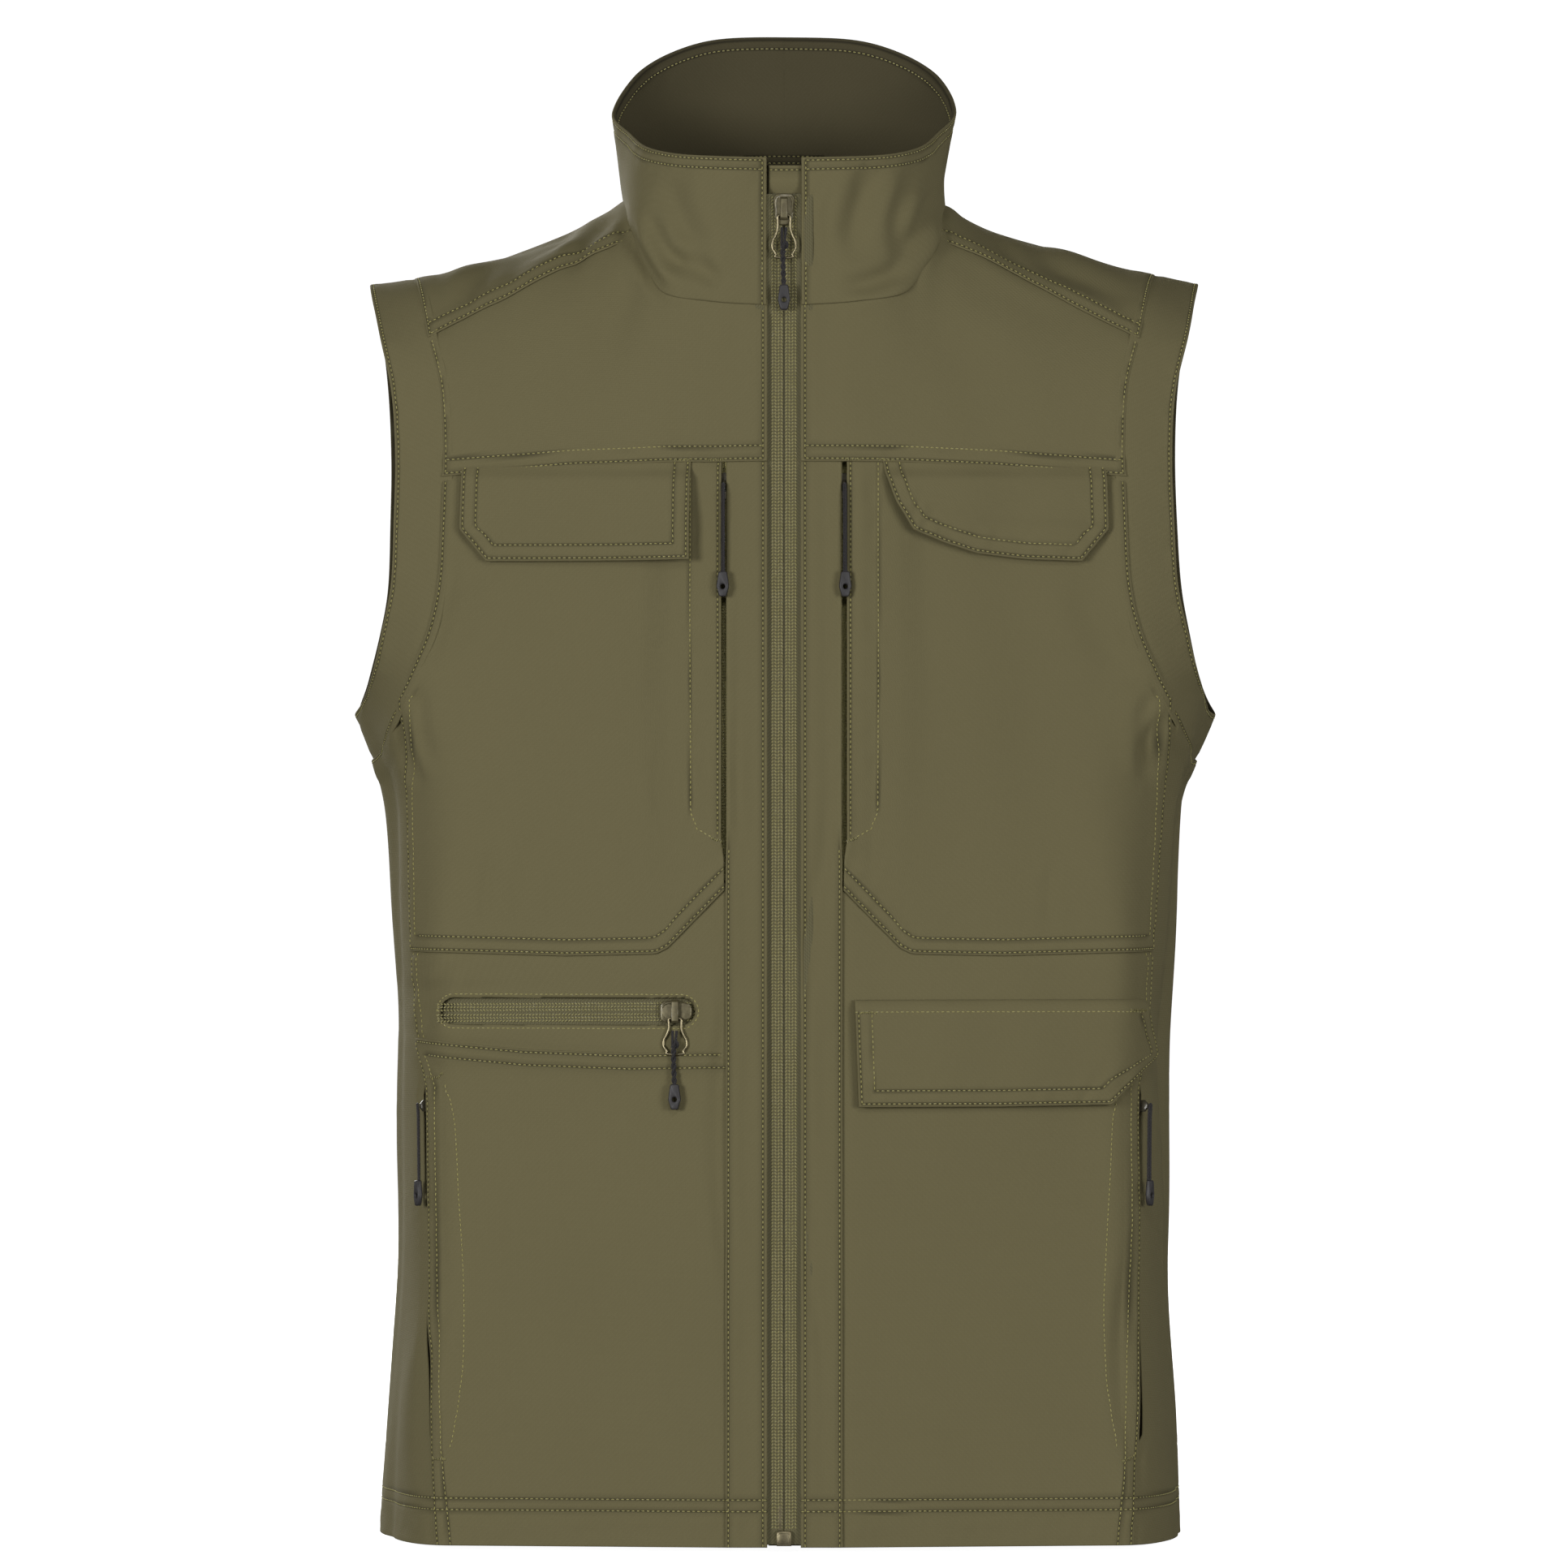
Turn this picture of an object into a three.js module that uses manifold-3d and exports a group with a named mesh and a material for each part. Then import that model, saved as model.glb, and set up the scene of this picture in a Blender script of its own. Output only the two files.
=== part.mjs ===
// Stand-collar fishing vest with a separating front zip, chest and lower pockets and hand pockets.
// Millimetres. Origin at the middle of the hem, +Z up, the front faces -Y, the wearer's left is +X.
import * as THREE from "three";
import { mergeVertices } from "three/addons/utils/BufferGeometryUtils.js";
import Module from "manifold-3d";

const wasm = await Module();
wasm.setup();

// Driving dimensions
const FABRIC = 1.6; // thickness of a panel, two layers and turnings
const SEAM = 1.0; // gap between panels of one body
const CURVED_SEAM = 3.0; // gap to a seam that bends, where a panel's facets cut its corner
const SPLIT_FRONT = -62.0; // the opening fronts lie ahead of this depth
const SPLIT_BACK = -60.0; // the fixed shell lies behind this depth
const HEM_FRONT = 128; // depth of the front at the hem
const FRONT_LEAN = 42 / 720; // the centre front is a straight line that leans back by this much
const MID_Y = 8; // depth of the side line and of the shoulder ridge
const FLAT = 30; // half width of the flat centre front
const FRONT_SLOPE = 0.12; // how fast each front recedes outside that
const CORNER_POWER = 2.2;
const BACK_POWER = 2.6;
const CROWN = 2.5; // roundness of the shoulder from front to back
const CHEST_Z = 560; // the shoulders begin to round over here

// Knots of the shell: [height, value]
const HALF_WIDTH = [[0, 208], [60, 205.5], [150, 201], [250, 201], [337, 205], [379, 209],
  [406, 216], [430, 226], [470, 234], [560, 239], [800, 242]];
const CORNER = [[0, 35], [300, 35], [430, 60], [800, 60]];
const BACK_DEPTH = [[0, 110], [250, 105], [420, 123], [520, 128], [600, 121], [680, 86], [716, 64]];
// Height of the shoulder ridge: [distance from the middle, height]
const RIDGE = [[0, 1000], [50, 790], [72, 722], [84, 700], [145, 674], [183, 662], [220, 655], [242, 652]];

// Outlines on a front or back: [distance from the middle, height]
const YOKE_SEAM = [[80, 677], [111, 662], [137, 648], [162, 636], [185, 625]];
const CHEST_SEAM = [[8.6, 560], [60, 559.5], [110, 557.5], [178, 552.5]];
const SIDE_SEAM = [[180, 0], [187, 60], [191, 150], [192, 300], [198, 400], [201, 437]];
const BACK_SIDE_SEAM = [[180, 0], [187, 60], [190, 150], [192, 300], [199, 400], [207, 433]];
const FRONT_ARMHOLE_SEAM = [[201, 437], [193, 454], [184, 475], [179, 505], [178, 552.5]];
const POCKET_SEAM = [[30.7, 338], [60, 308], [66, 305], [113, 304], [192, 306]];
const BACK_YOKE_Z = 600;

// Armhole, from the shoulder down the front, under the arm and up the back: [distance, height]
const EDGE_FRONT = [[211, 627], [204, 597], [202, 564], [203, 530], [205, 496], [210, 473], [216, 450]];
const BAND_FRONT = [[185, 625], [179, 601], [177, 564], [178, 530], [180, 496], [185, 473], [196, 447]];
const EDGE_BACK = [[221, 450], [216, 473], [212, 496], [210, 530], [209, 564], [210, 597], [213, 627]];
const BAND_BACK = [[202, 440], [193, 466], [188, 496], [187, 530], [186, 564], [187, 600], [189, 627]];

// Neck seam and collar top, from the centre front to the centre back: [x, height] and [x, y, height]
const NECK_FRONT = [[9, 641], [38, 643], [63, 648], [75, 664], [80.5, 681]];
const NECK_BACK = [[72, 708], [40, 714], [0, 716]];
const COLLAR_TOP = [[9, -86, 718], [34, -85.6, 718.5], [56, -75, 720.5], [72, -56, 725], [83, -28, 734],
  [88, 4, 746], [76, 40, 767], [44, 61, 782], [0, 68, 790]];

// Zips
const TAPE_GAP = 0.8; // from the middle to the inner edge of each tape and coil
const SLIDER = { halfWidth: 5.6, length: 16, plate: 2.4 };
const PULL_PIVOT = { along: -3.6, out: 1.9 };
const WIRE = 1.2;
const CHEST_ZIP = { x: 31.2, low: 362, high: 556, travel: 176 };
const LOWER_ZIP = { x0: 44, x1: 180, z: 275.5, height: 13, travel: 100 };
const HAND_ZIP = { low: [184.5, 50], high: [187, 236], travel: 160 };

const COLOURS = {
  fabric: 0x6c674a, lining: 0x4a4432, tape: 0x62603b, metal: 0x8a8468, cord: 0x3c373e, plastic: 0x3e3c3e,
};

// ---- curves and surfaces ----

const clamp = (value, low, high) => Math.min(high, Math.max(low, value));

function smoothstep(low, high, value) {
  const t = clamp((value - low) / (high - low), 0, 1);
  return t * t * (3 - 2 * t);
}

// A monotone cubic through the knots, flat outside them.
function through(knots, at) {
  const last = knots.length - 1;
  if (at <= knots[0][0]) return knots[0][1];
  if (at >= knots[last][0]) return knots[last][1];
  const rise = (k) => (knots[k + 1][1] - knots[k][1]) / (knots[k + 1][0] - knots[k][0]);
  const slope = (k) => {
    if (k === 0) return rise(0);
    if (k === last) return rise(last - 1);
    const [a, b] = [rise(k - 1), rise(k)];
    return a * b <= 0 ? 0 : (2 * a * b) / (a + b);
  };
  const i = knots.findIndex((k) => k[0] > at) - 1;
  const h = knots[i + 1][0] - knots[i][0];
  const t = (at - knots[i][0]) / h;
  return knots[i][1] * (1 + 2 * t) * (1 - t) ** 2 + slope(i) * h * t * (1 - t) ** 2
    + knots[i + 1][1] * t * t * (3 - 2 * t) + slope(i + 1) * h * t * t * (t - 1);
}

const halfWidth = (z) => through(HALF_WIDTH, z);
const frontDepth = (z) => HEM_FRONT - FRONT_LEAN * z;

// How much of the full depth is left at (x, z) where the shoulders round over.
function crown(x, z) {
  if (z <= CHEST_Z) return 1;
  const up = (z - CHEST_Z) / (through(RIDGE, x) - CHEST_Z);
  const t = clamp(up * smoothstep(20, 70, x), 0, 1);
  return (1 - t ** CROWN) ** (1 / CROWN);
}

function frontBase(x, z) {
  const a = halfWidth(z);
  const corner = through(CORNER, z);
  const v = clamp((x - a + corner) / corner, 0, 1);
  const deep = MID_Y + frontDepth(z) - FRONT_SLOPE * (a - FLAT);
  const round = 1 - (1 - v ** CORNER_POWER) ** (1 / CORNER_POWER);
  return -frontDepth(z) + FRONT_SLOPE * Math.max(0, x - FLAT) + deep * round;
}

function backBase(x, z) {
  const across = clamp(x / halfWidth(z), 0, 1);
  return MID_Y + (through(BACK_DEPTH, z) - MID_Y) * (1 - across ** BACK_POWER) ** (1 / BACK_POWER);
}

const frontY = (x, z) => MID_Y + (frontBase(Math.abs(x), z) - MID_Y) * crown(Math.abs(x), z);
const backY = (x, z) => MID_Y + (backBase(Math.abs(x), z) - MID_Y) * crown(Math.abs(x), z);
const onFront = (x, z) => new THREE.Vector3(x, frontY(x, z), z);
const onBack = (x, z) => new THREE.Vector3(x, backY(x, z), z);

// A point of the shell by girth (0 centre front, 1 side, 2 centre back) and height.
function onGirth(girth, z) {
  const x = halfWidth(z) * Math.sin((girth * Math.PI) / 2);
  return girth < 1 ? onFront(x, z) : onBack(x, z);
}

function girthOf(x, z, back = false) {
  const front = (Math.asin(clamp(x / halfWidth(z), 0, 1)) * 2) / Math.PI;
  return back ? 2 - front : front;
}

// A point over the shoulder: roll is negative ahead of the ridge, zero on it, positive behind.
function onShoulder(x, roll) {
  const z = CHEST_Z + (through(RIDGE, x) - CHEST_Z) * Math.cos(roll) ** (2 / CROWN);
  const base = roll < 0 ? frontBase(x, z) : backBase(x, z);
  return new THREE.Vector3(x, MID_Y + (base - MID_Y) * Math.abs(Math.sin(roll)) ** (2 / CROWN), z);
}

function rollOf(x, z) {
  const up = clamp((z - CHEST_Z) / (through(RIDGE, x) - CHEST_Z), 0, 1);
  return Math.acos(up ** (CROWN / 2));
}

// A function of 0..1 along a polyline, by length.
function along(points) {
  const lengths = [0];
  for (let i = 1; i < points.length; i += 1) {
    const step = Math.hypot(points[i][0] - points[i - 1][0], points[i][1] - points[i - 1][1]);
    lengths.push(lengths[i - 1] + step);
  }
  const total = lengths[points.length - 1];
  return (t) => {
    const at = clamp(t, 0, 1) * total;
    let i = lengths.findIndex((l) => l >= at);
    if (i <= 0) i = 1;
    const share = (at - lengths[i - 1]) / (lengths[i] - lengths[i - 1]);
    return points[i].map((value, k) => points[i - 1][k] + share * (value - points[i - 1][k]));
  };
}

// A Coons patch inside four edges, each a function of 0..1.
function patch(bottom, right, top, left) {
  const [c00, c10, c01, c11] = [bottom(0), bottom(1), top(0), top(1)];
  return (u, v) => {
    const [b, r, t, l] = [bottom(u), right(v), top(u), left(v)];
    return b.map((_, k) => (1 - v) * b[k] + v * t[k] + (1 - u) * l[k] + u * r[k]
      - (1 - u) * (1 - v) * c00[k] - u * (1 - v) * c10[k] - (1 - u) * v * c01[k] - u * v * c11[k]);
  };
}

// ---- solids ----

// A closed shell whose outer face is place(u, v), from depth to depth + thickness inside it.
function shell(place, columns, rows, { depth = 0, thickness = FABRIC, flatHem = false } = {}) {
  const step = 1e-3;
  const inward = [];
  const outer = [];
  for (let j = 0; j <= rows; j += 1) {
    for (let i = 0; i <= columns; i += 1) {
      const [u, v] = [i / columns, j / rows];
      const [u0, u1] = [clamp(u - step, 0, 1), clamp(u + step, 0, 1)];
      const [v0, v1] = [clamp(v - step, 0, 1), clamp(v + step, 0, 1)];
      const across = place(u1, v).sub(place(u0, v));
      const up = place(u, v1).sub(place(u, v0));
      const normal = across.cross(up).normalize();
      const point = place(u, v);
      const middle = new THREE.Vector3(0, MID_Y, Math.min(point.z, CHEST_Z));
      if (normal.dot(point.clone().sub(middle)) > 0) normal.negate();
      if (flatHem) normal.setZ(0).normalize();
      outer.push(point.clone().addScaledVector(normal, depth));
      inward.push(point.clone().addScaledVector(normal, depth + thickness));
    }
  }
  const wide = columns + 1;
  const count = outer.length;
  const faces = [];
  const quad = (a, b, c, d) => faces.push(a, b, c, a, c, d);
  for (let j = 0; j < rows; j += 1) {
    for (let i = 0; i < columns; i += 1) {
      const a = j * wide + i;
      quad(a, a + 1, a + 1 + wide, a + wide);
      quad(count + a, count + a + wide, count + a + 1 + wide, count + a + 1);
    }
  }
  for (let i = 0; i < columns; i += 1) {
    const top = rows * wide + i;
    quad(i, count + i, count + i + 1, i + 1);
    quad(top, top + 1, count + top + 1, count + top);
  }
  for (let j = 0; j < rows; j += 1) {
    const left = j * wide;
    const right = left + columns;
    quad(left, left + wide, count + left + wide, count + left);
    quad(right, count + right, count + right + wide, right + wide);
  }
  return facingOut([...outer, ...inward], faces);
}

function facingOut(points, faces) {
  let volume = 0;
  for (let i = 0; i < faces.length; i += 3) {
    const [a, b, c] = [points[faces[i]], points[faces[i + 1]], points[faces[i + 2]]];
    volume += a.dot(b.clone().cross(c));
  }
  if (volume < 0) {
    for (let i = 0; i < faces.length; i += 3) [faces[i], faces[i + 1]] = [faces[i + 1], faces[i]];
  }
  const geometry = new THREE.BufferGeometry();
  geometry.setFromPoints(points);
  geometry.setIndex(faces);
  return geometry;
}

function solidOf(geometry) {
  const bare = new THREE.BufferGeometry().setAttribute("position", geometry.getAttribute("position").clone());
  if (geometry.index) bare.setIndex(geometry.index.clone());
  const merged = mergeVertices(bare, 1e-4);
  return new wasm.Manifold(new wasm.Mesh({
    numProp: 3,
    vertProperties: new Float32Array(merged.attributes.position.array),
    triVerts: new Uint32Array(merged.index.array),
  }));
}

function geometryOf(solid) {
  const mesh = solid.getMesh();
  const stride = mesh.numProp;
  const points = [];
  for (let i = 0; i < mesh.numVert; i += 1) {
    points.push(new THREE.Vector3(...mesh.vertProperties.subarray(i * stride, i * stride + 3)));
  }
  return new THREE.BufferGeometry().setFromPoints(points).setIndex([...mesh.triVerts]);
}

function joined(first, ...rest) {
  return geometryOf(rest.reduce((sum, g) => sum.add(solidOf(g)), solidOf(first)));
}

function cut(first, ...rest) {
  return geometryOf(rest.reduce((left, g) => left.subtract(solidOf(g)), solidOf(first)));
}

// A box between two corners.
function block(low, high) {
  const size = high.map((value, k) => value - low[k]);
  const middle = high.map((value, k) => (value + low[k]) / 2);
  return new THREE.BoxGeometry(...size).translate(...middle);
}

// An outline with an optional hole, extruded from out0 to out1 along local +Z.
function slab(outline, hole, out0, out1) {
  const wound = (points, clockwise) => {
    const list = points.map(([x, y]) => new THREE.Vector2(x, y));
    return THREE.ShapeUtils.isClockWise(list) === clockwise ? list : list.reverse();
  };
  const shape = new THREE.Shape(wound(outline, false));
  if (hole) shape.holes.push(new THREE.Path(wound(hole, true)));
  return new THREE.ExtrudeGeometry(shape, { depth: out1 - out0, bevelEnabled: false }).translate(0, 0, out0);
}

const mirroredOutline = (half) => [...half, ...half.slice().reverse().map(([x, y]) => [-x, y])]
  .filter(([x, y], i, all) => i === 0 || x !== all[i - 1][0] || y !== all[i - 1][1]);

// ---- frames ----

// Local X across, Y along, Z out of the fabric.
function frameAt(origin, direction, outward) {
  const y = direction.clone().normalize();
  const z = outward.clone().addScaledVector(y, -outward.dot(y)).normalize();
  const x = y.clone().cross(z);
  return new THREE.Matrix4().makeBasis(x, y, z).setPosition(origin);
}

const UP_FRONT = new THREE.Vector3(0, FRONT_LEAN, 1).normalize();
const OUT_FRONT = new THREE.Vector3(0, -1, FRONT_LEAN).normalize();

function slopedFrame(side, x, z) {
  const acrossFront = new THREE.Vector3(1, side * FRONT_SLOPE, 0);
  const outward = acrossFront.clone().cross(UP_FRONT);
  return frameAt(onFront(side * x, z), UP_FRONT, outward);
}

const group = new THREE.Group();

function add(name, geometry, colour, frame = null) {
  const metal = colour === COLOURS.metal;
  const material = new THREE.MeshStandardMaterial({
    color: colour, roughness: metal ? 0.35 : 0.85, metalness: metal ? 0.8 : 0,
  });
  const mesh = new THREE.Mesh(geometry, material);
  mesh.name = name;
  if (frame) mesh.applyMatrix4(frame);
  group.add(mesh);
}

const sideName = (side) => (side < 0 ? "right" : "left");
const mirrored = (side, point) => point.set(side * point.x, point.y, point.z);

// ---- fabric panels ----

// A panel of one front, inside four outlines given as [distance from the middle, height].
function frontPanel(side, bottom, right, top, left, columns, rows, options) {
  const inside = patch(along(bottom), along(right), along(top), along(left));
  return shell((u, v) => onFront(...inside(u, v)).multiply(new THREE.Vector3(side, 1, 1)),
    columns, rows, options);
}

// The part of an outline between two heights.
function between(outline, low, high) {
  const at = (z) => {
    const i = Math.max(1, outline.findIndex((p) => p[1] >= z));
    const [p, q] = [outline[i - 1], outline[i]];
    return [p[0] + ((q[0] - p[0]) * (z - p[1])) / (q[1] - p[1]), z];
  };
  return [at(low), ...outline.filter((p) => p[1] > low && p[1] < high), at(high)];
}

const lowered = (outline, by) => outline.map(([x, z]) => [x, z - by]);

function chestYoke(side) {
  const neck = [[8.6, 639], [38, 640], [64, 643.5], [78, 660], [83, 672.5]];
  const top = [...neck, ...lowered(YOKE_SEAM, 2 * SEAM).slice(1)];
  const right = [[178, 552.5 + SEAM], [177, 564], [179, 601], [185, 625 - 2 * SEAM]]
    .map(([x, z]) => [x - 1.5 * SEAM, z]);
  top[top.length - 1] = right[3];
  const bottom = lowered(CHEST_SEAM, -SEAM);
  bottom[bottom.length - 1] = right[0];
  return frontPanel(side, bottom, right, top, [bottom[0], top[0]], 12, 5);
}

function chestPocket(side) {
  const slit = CHEST_ZIP.x + 2;
  const top = [[slit, 558.5], [60, 558.5], [110, 556.5], [178 - CURVED_SEAM, 551.5]];
  const bottom = lowered(POCKET_SEAM, -SEAM / 2);
  const seam = [...between(SIDE_SEAM, 306, 434).map(([x, z]) => [x - SEAM, z]),
    ...FRONT_ARMHOLE_SEAM.slice(1).map(([x, z]) => [x - CURVED_SEAM, z])];
  bottom[0] = [31.2, 338];
  bottom[bottom.length - 1] = [seam[0][0], 306 + SEAM / 2];
  seam[0] = bottom[bottom.length - 1];
  seam[seam.length - 1] = top[3];
  return frontPanel(side, bottom, seam, top, [bottom[0], [31.2, 356], [slit, 362], top[0]], 14, 12);
}

function lowerFront(side) {
  const top = lowered(POCKET_SEAM, SEAM / 2);
  const outer = between(SIDE_SEAM, 0, 306 - SEAM / 2).map(([x, z]) => [x - SEAM, z]);
  top[0] = [31.2, 337];
  top[top.length - 1] = outer[outer.length - 1];
  const bottom = [[31.2, 0], [110, 0], [150, 0], outer[0]];
  return frontPanel(side, bottom, outer, top, [bottom[0], top[0]], 20, 10, { flatHem: true });
}

function placket(side) {
  const edge = CHEST_ZIP.x - 2;
  const right = [[30.2, 0], [30.2, 356], [edge, 362], [edge, 559]];
  return frontPanel(side, [[8.6, 0], right[0]], right, [[8.6, 559], right[3]], [[8.6, 0], [8.6, 559]], 2, 6,
    { flatHem: true });
}

function chestFlap(side) {
  const top = [[48, 557], [167, 554]];
  const right = [[154, 508], [168, 525], [167, 554]];
  const bottom = [[48, 508.5], [100, 508], [154, 508]];
  return frontPanel(side, bottom, right, top, [bottom[0], top[0]], 8, 4, { depth: -3.6, thickness: 2.2 });
}

function lowerFlap(side) {
  const right = [[169, 227], [192, 252], [185, 281.5]];
  const bottom = [[36.5, 226], [110, 226], [169, 227]];
  const top = [[36.5, 281.5], [110, 281.5], right[2]];
  return frontPanel(side, bottom, right, top, [bottom[0], top[0]], 20, 4, { depth: -5.6, thickness: 2.2 });
}

function pocketBag(side, x0, x1, z0, z1, depth) {
  const corners = [[x0, z0], [x1, z0], [x1, z1], [x0, z1]];
  return frontPanel(side, [corners[0], corners[1]], [corners[1], corners[2]], [corners[3], corners[2]],
    [corners[0], corners[3]], 6, 3, { depth, thickness: 1.2 });
}

function shoulderYoke(side) {
  const front = YOKE_SEAM.map(([x, z]) => [x, -rollOf(x, z)]);
  const outer = [front[4], [189, -0.6], [194, 0], [191, 0.5]].map(([x, roll]) => [x - SEAM, roll]);
  const inner = [front[0], [83, -0.5], [84, 0], [80, 0.25], [73, 0.5]]
    .map(([x, roll]) => [x + CURVED_SEAM, roll]);
  front[4] = outer[0];
  front[0] = inner[0];
  const line = (points) => along(points.map(([x, roll]) => [x, roll * 100]));
  const inside = patch(line(front), line(outer), line([inner[4], outer[3]]), line(inner));
  return shell((u, v) => {
    const [x, roll] = inside(u, v);
    return mirrored(side, onShoulder(x, roll / 100));
  }, 8, 10);
}

function sidePanel(side) {
  const girths = (outline, back) => outline.map(([x, z]) => [girthOf(x, z, back) * 200, z]);
  const front = girths(between(SIDE_SEAM, 0, 430).map(([x, z]) => [x + 2 * SEAM, z]), false);
  const back = girths(between(BACK_SIDE_SEAM, 0, 425).map(([x, z]) => [x + 2 * SEAM, z]), true);
  const top = [front[front.length - 1], girths([[207, 421.5]], false)[0], girths([[211, 410]], false)[0],
    [200, 402], girths([[212, 411]], true)[0], back[back.length - 1]];
  const inside = patch(along([front[0], [200, 0], back[0]]), along(back), along(top), along(front));
  return shell((u, v) => {
    const [girth, z] = inside(u, v);
    return mirrored(side, onGirth(girth / 200, z));
  }, 12, 14, { flatHem: true });
}

function backPanel() {
  const edge = [...between(BACK_SIDE_SEAM, 0, 430).map(([x, z]) => [x - SEAM, z]),
    ...[...BAND_BACK.slice(0, 5), [187, BACK_YOKE_Z]].map(([x, z]) => [x - CURVED_SEAM, z])];
  const left = edge.map(([x, z]) => [-x, z]);
  const top = [left[left.length - 1], edge[edge.length - 1]];
  const inside = patch(along([left[0], edge[0]]), along(edge), along(top), along(left));
  return shell((u, v) => onBack(...inside(u, v)), 16, 10, { flatHem: true });
}

function backYoke() {
  const shoulder = [191, 160, 120, 95, 74].map((x) => [x - SEAM, onShoulder(x, 0.5).z - 2.2]);
  const neck = [[68, 707], [40, 712.5], [0, 714.5]];
  const half = [...shoulder, ...neck];
  const top = [...half.map(([x, z]) => [-x, z]), ...half.slice(0, -1).reverse()];
  const low = BACK_YOKE_Z + SEAM;
  const right = [[187 - CURVED_SEAM, low], [189 - CURVED_SEAM, 627], half[0]];
  const left = right.map(([x, z]) => [-x, z]);
  const inside = patch(along([left[0], right[0]]), along(right), along(top), along(left));
  return shell((u, v) => onBack(...inside(u, v)), 20, 5);
}

// A strip ruled between two closed or open 3-D curves, kept on one side of a depth.
function ruled(low, high, from, to, columns, rows, options) {
  return shell((u, v) => {
    const [s0, s1] = [from(v), to(v)];
    const s = s0 + u * (s1 - s0);
    return low.getPoint(s).lerp(high.getPoint(s), v);
  }, columns, rows, options);
}

// The parameter between a and b where the strip at height v crosses the depth.
function crossing(low, high, v, depth, a, b) {
  const y = (s) => low.getPoint(s).lerp(high.getPoint(s), v).y;
  const rising = y(b) > y(a);
  let [lo, hi] = [a, b];
  for (let i = 0; i < 40; i += 1) {
    const mid = (lo + hi) / 2;
    if ((y(mid) < depth) === rising) lo = mid;
    else hi = mid;
  }
  return (lo + hi) / 2;
}

function armholeBands(side) {
  const loop = (ridge, front, under, back) => new THREE.CatmullRomCurve3([
    onShoulder(ridge, 0), ...front.map(([x, z]) => onFront(x, z)),
    under, ...back.map(([x, z]) => onBack(x, z)),
  ].map((p) => mirrored(side, p)), true, "centripetal");
  const edge = loop(218, EDGE_FRONT, new THREE.Vector3(226, MID_Y, 430), EDGE_BACK);
  const seam = loop(195, BAND_FRONT, new THREE.Vector3(216, MID_Y, 405), BAND_BACK);
  const count = EDGE_FRONT.length + EDGE_BACK.length + 2;
  const [top, chest, under] = [0, 4 / count, 8 / count];
  const front = ruled(seam, edge, (v) => crossing(seam, edge, v, SPLIT_FRONT - 0.5, top, chest),
    (v) => crossing(seam, edge, v, SPLIT_FRONT - 0.5, chest, under), 10, 2);
  const rear = ruled(seam, edge, (v) => crossing(seam, edge, v, SPLIT_BACK + 0.5, chest, under),
    (v) => 1 + crossing(seam, edge, v, SPLIT_BACK + 0.5, top, chest), 26, 2);
  return [front, rear];
}

function collarCurves() {
  const half = [...NECK_FRONT.map(([x, z]) => onFront(x, z)), onShoulder(84, 0),
    ...NECK_BACK.map(([x, z]) => onBack(x, z))];
  const top = COLLAR_TOP.map((p) => new THREE.Vector3(...p));
  const both = (points) => new THREE.CatmullRomCurve3([
    ...points.map((p) => new THREE.Vector3(-p.x, p.y, p.z)),
    ...points.slice(0, -1).reverse().map((p) => p.clone()),
  ], false, "centripetal");
  return [both(half), both(top)];
}

function collarPieces() {
  const [low, high] = collarCurves();
  const rightEnd = (v) => crossing(low, high, v, SPLIT_FRONT - 0.5, 0, 0.5);
  const backEnd = (v) => crossing(low, high, v, SPLIT_BACK + 0.5, 0, 0.5);
  return {
    right: ruled(low, high, () => 0, rightEnd, 8, 3),
    left: ruled(low, high, (v) => 1 - rightEnd(v), () => 1, 8, 3),
    back: ruled(low, high, backEnd, (v) => 1 - backEnd(v), 24, 3),
  };
}

// ---- zips ----

function slider(acrossZip) {
  const [w, l] = acrossZip ? [SLIDER.length / 2, SLIDER.halfWidth] : [SLIDER.halfWidth, SLIDER.length / 2];
  const cutCorner = 2.5;
  const outline = mirroredOutline([[w - cutCorner, l], [w, l - cutCorner], [w - 1, -l]]);
  const front = slab(outline, null, -1.5, SLIDER.plate - 1.5);
  const back = slab(outline, null, -6.2, -5.0);
  const post = block([-0.4, -0.4, -5.2], [0.4, 0.4, -1.3]);
  return joined(front, back, post, bail(SLIDER.plate - 1.5));
}

// An arch over the slider that the pull hangs from.
function bail(base) {
  const outline = mirroredOutline([[6, -0.2], [6, 2.4], [5, 3.1]]).map(([x, y]) => [x, y + base]);
  const gap = mirroredOutline([[4.8, 0.02], [4.8, 2]]).map(([x, y]) => [x, y + base]);
  const arch = slab(outline, gap, -1.9, 1.9);
  return arch.applyMatrix4(new THREE.Matrix4().makeBasis(
    new THREE.Vector3(0, 1, 0), new THREE.Vector3(0, 0, 1), new THREE.Vector3(1, 0, 0)));
}

// The wire pull: a crossbar in the bail and a loop that widens downwards. Origin on its pivot.
function wirePull(length) {
  const k = length / 22.6;
  const loop = (half) => mirroredOutline(half.map(([x, y], i) => (i === 0 ? [x, y] : [x, y * k])));
  const outer = loop([[3.7, 0.6], [3.7, -6], [6.5, -14], [6.2, -18.5], [3, -21.8]]);
  const inner = loop([[2.5, -0.6], [2.5, -6.3], [5.3, -14.2], [5, -18], [2.5, -20.6]]);
  return slab(outer, inner, -WIRE / 2, WIRE / 2);
}

// The pull's cord from under the bail to its moulded end, in front of the wire.
const pullCord = (from, to) => block([-1.1, -to, 0.9], [1.1, -from, 2.7]);

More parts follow.
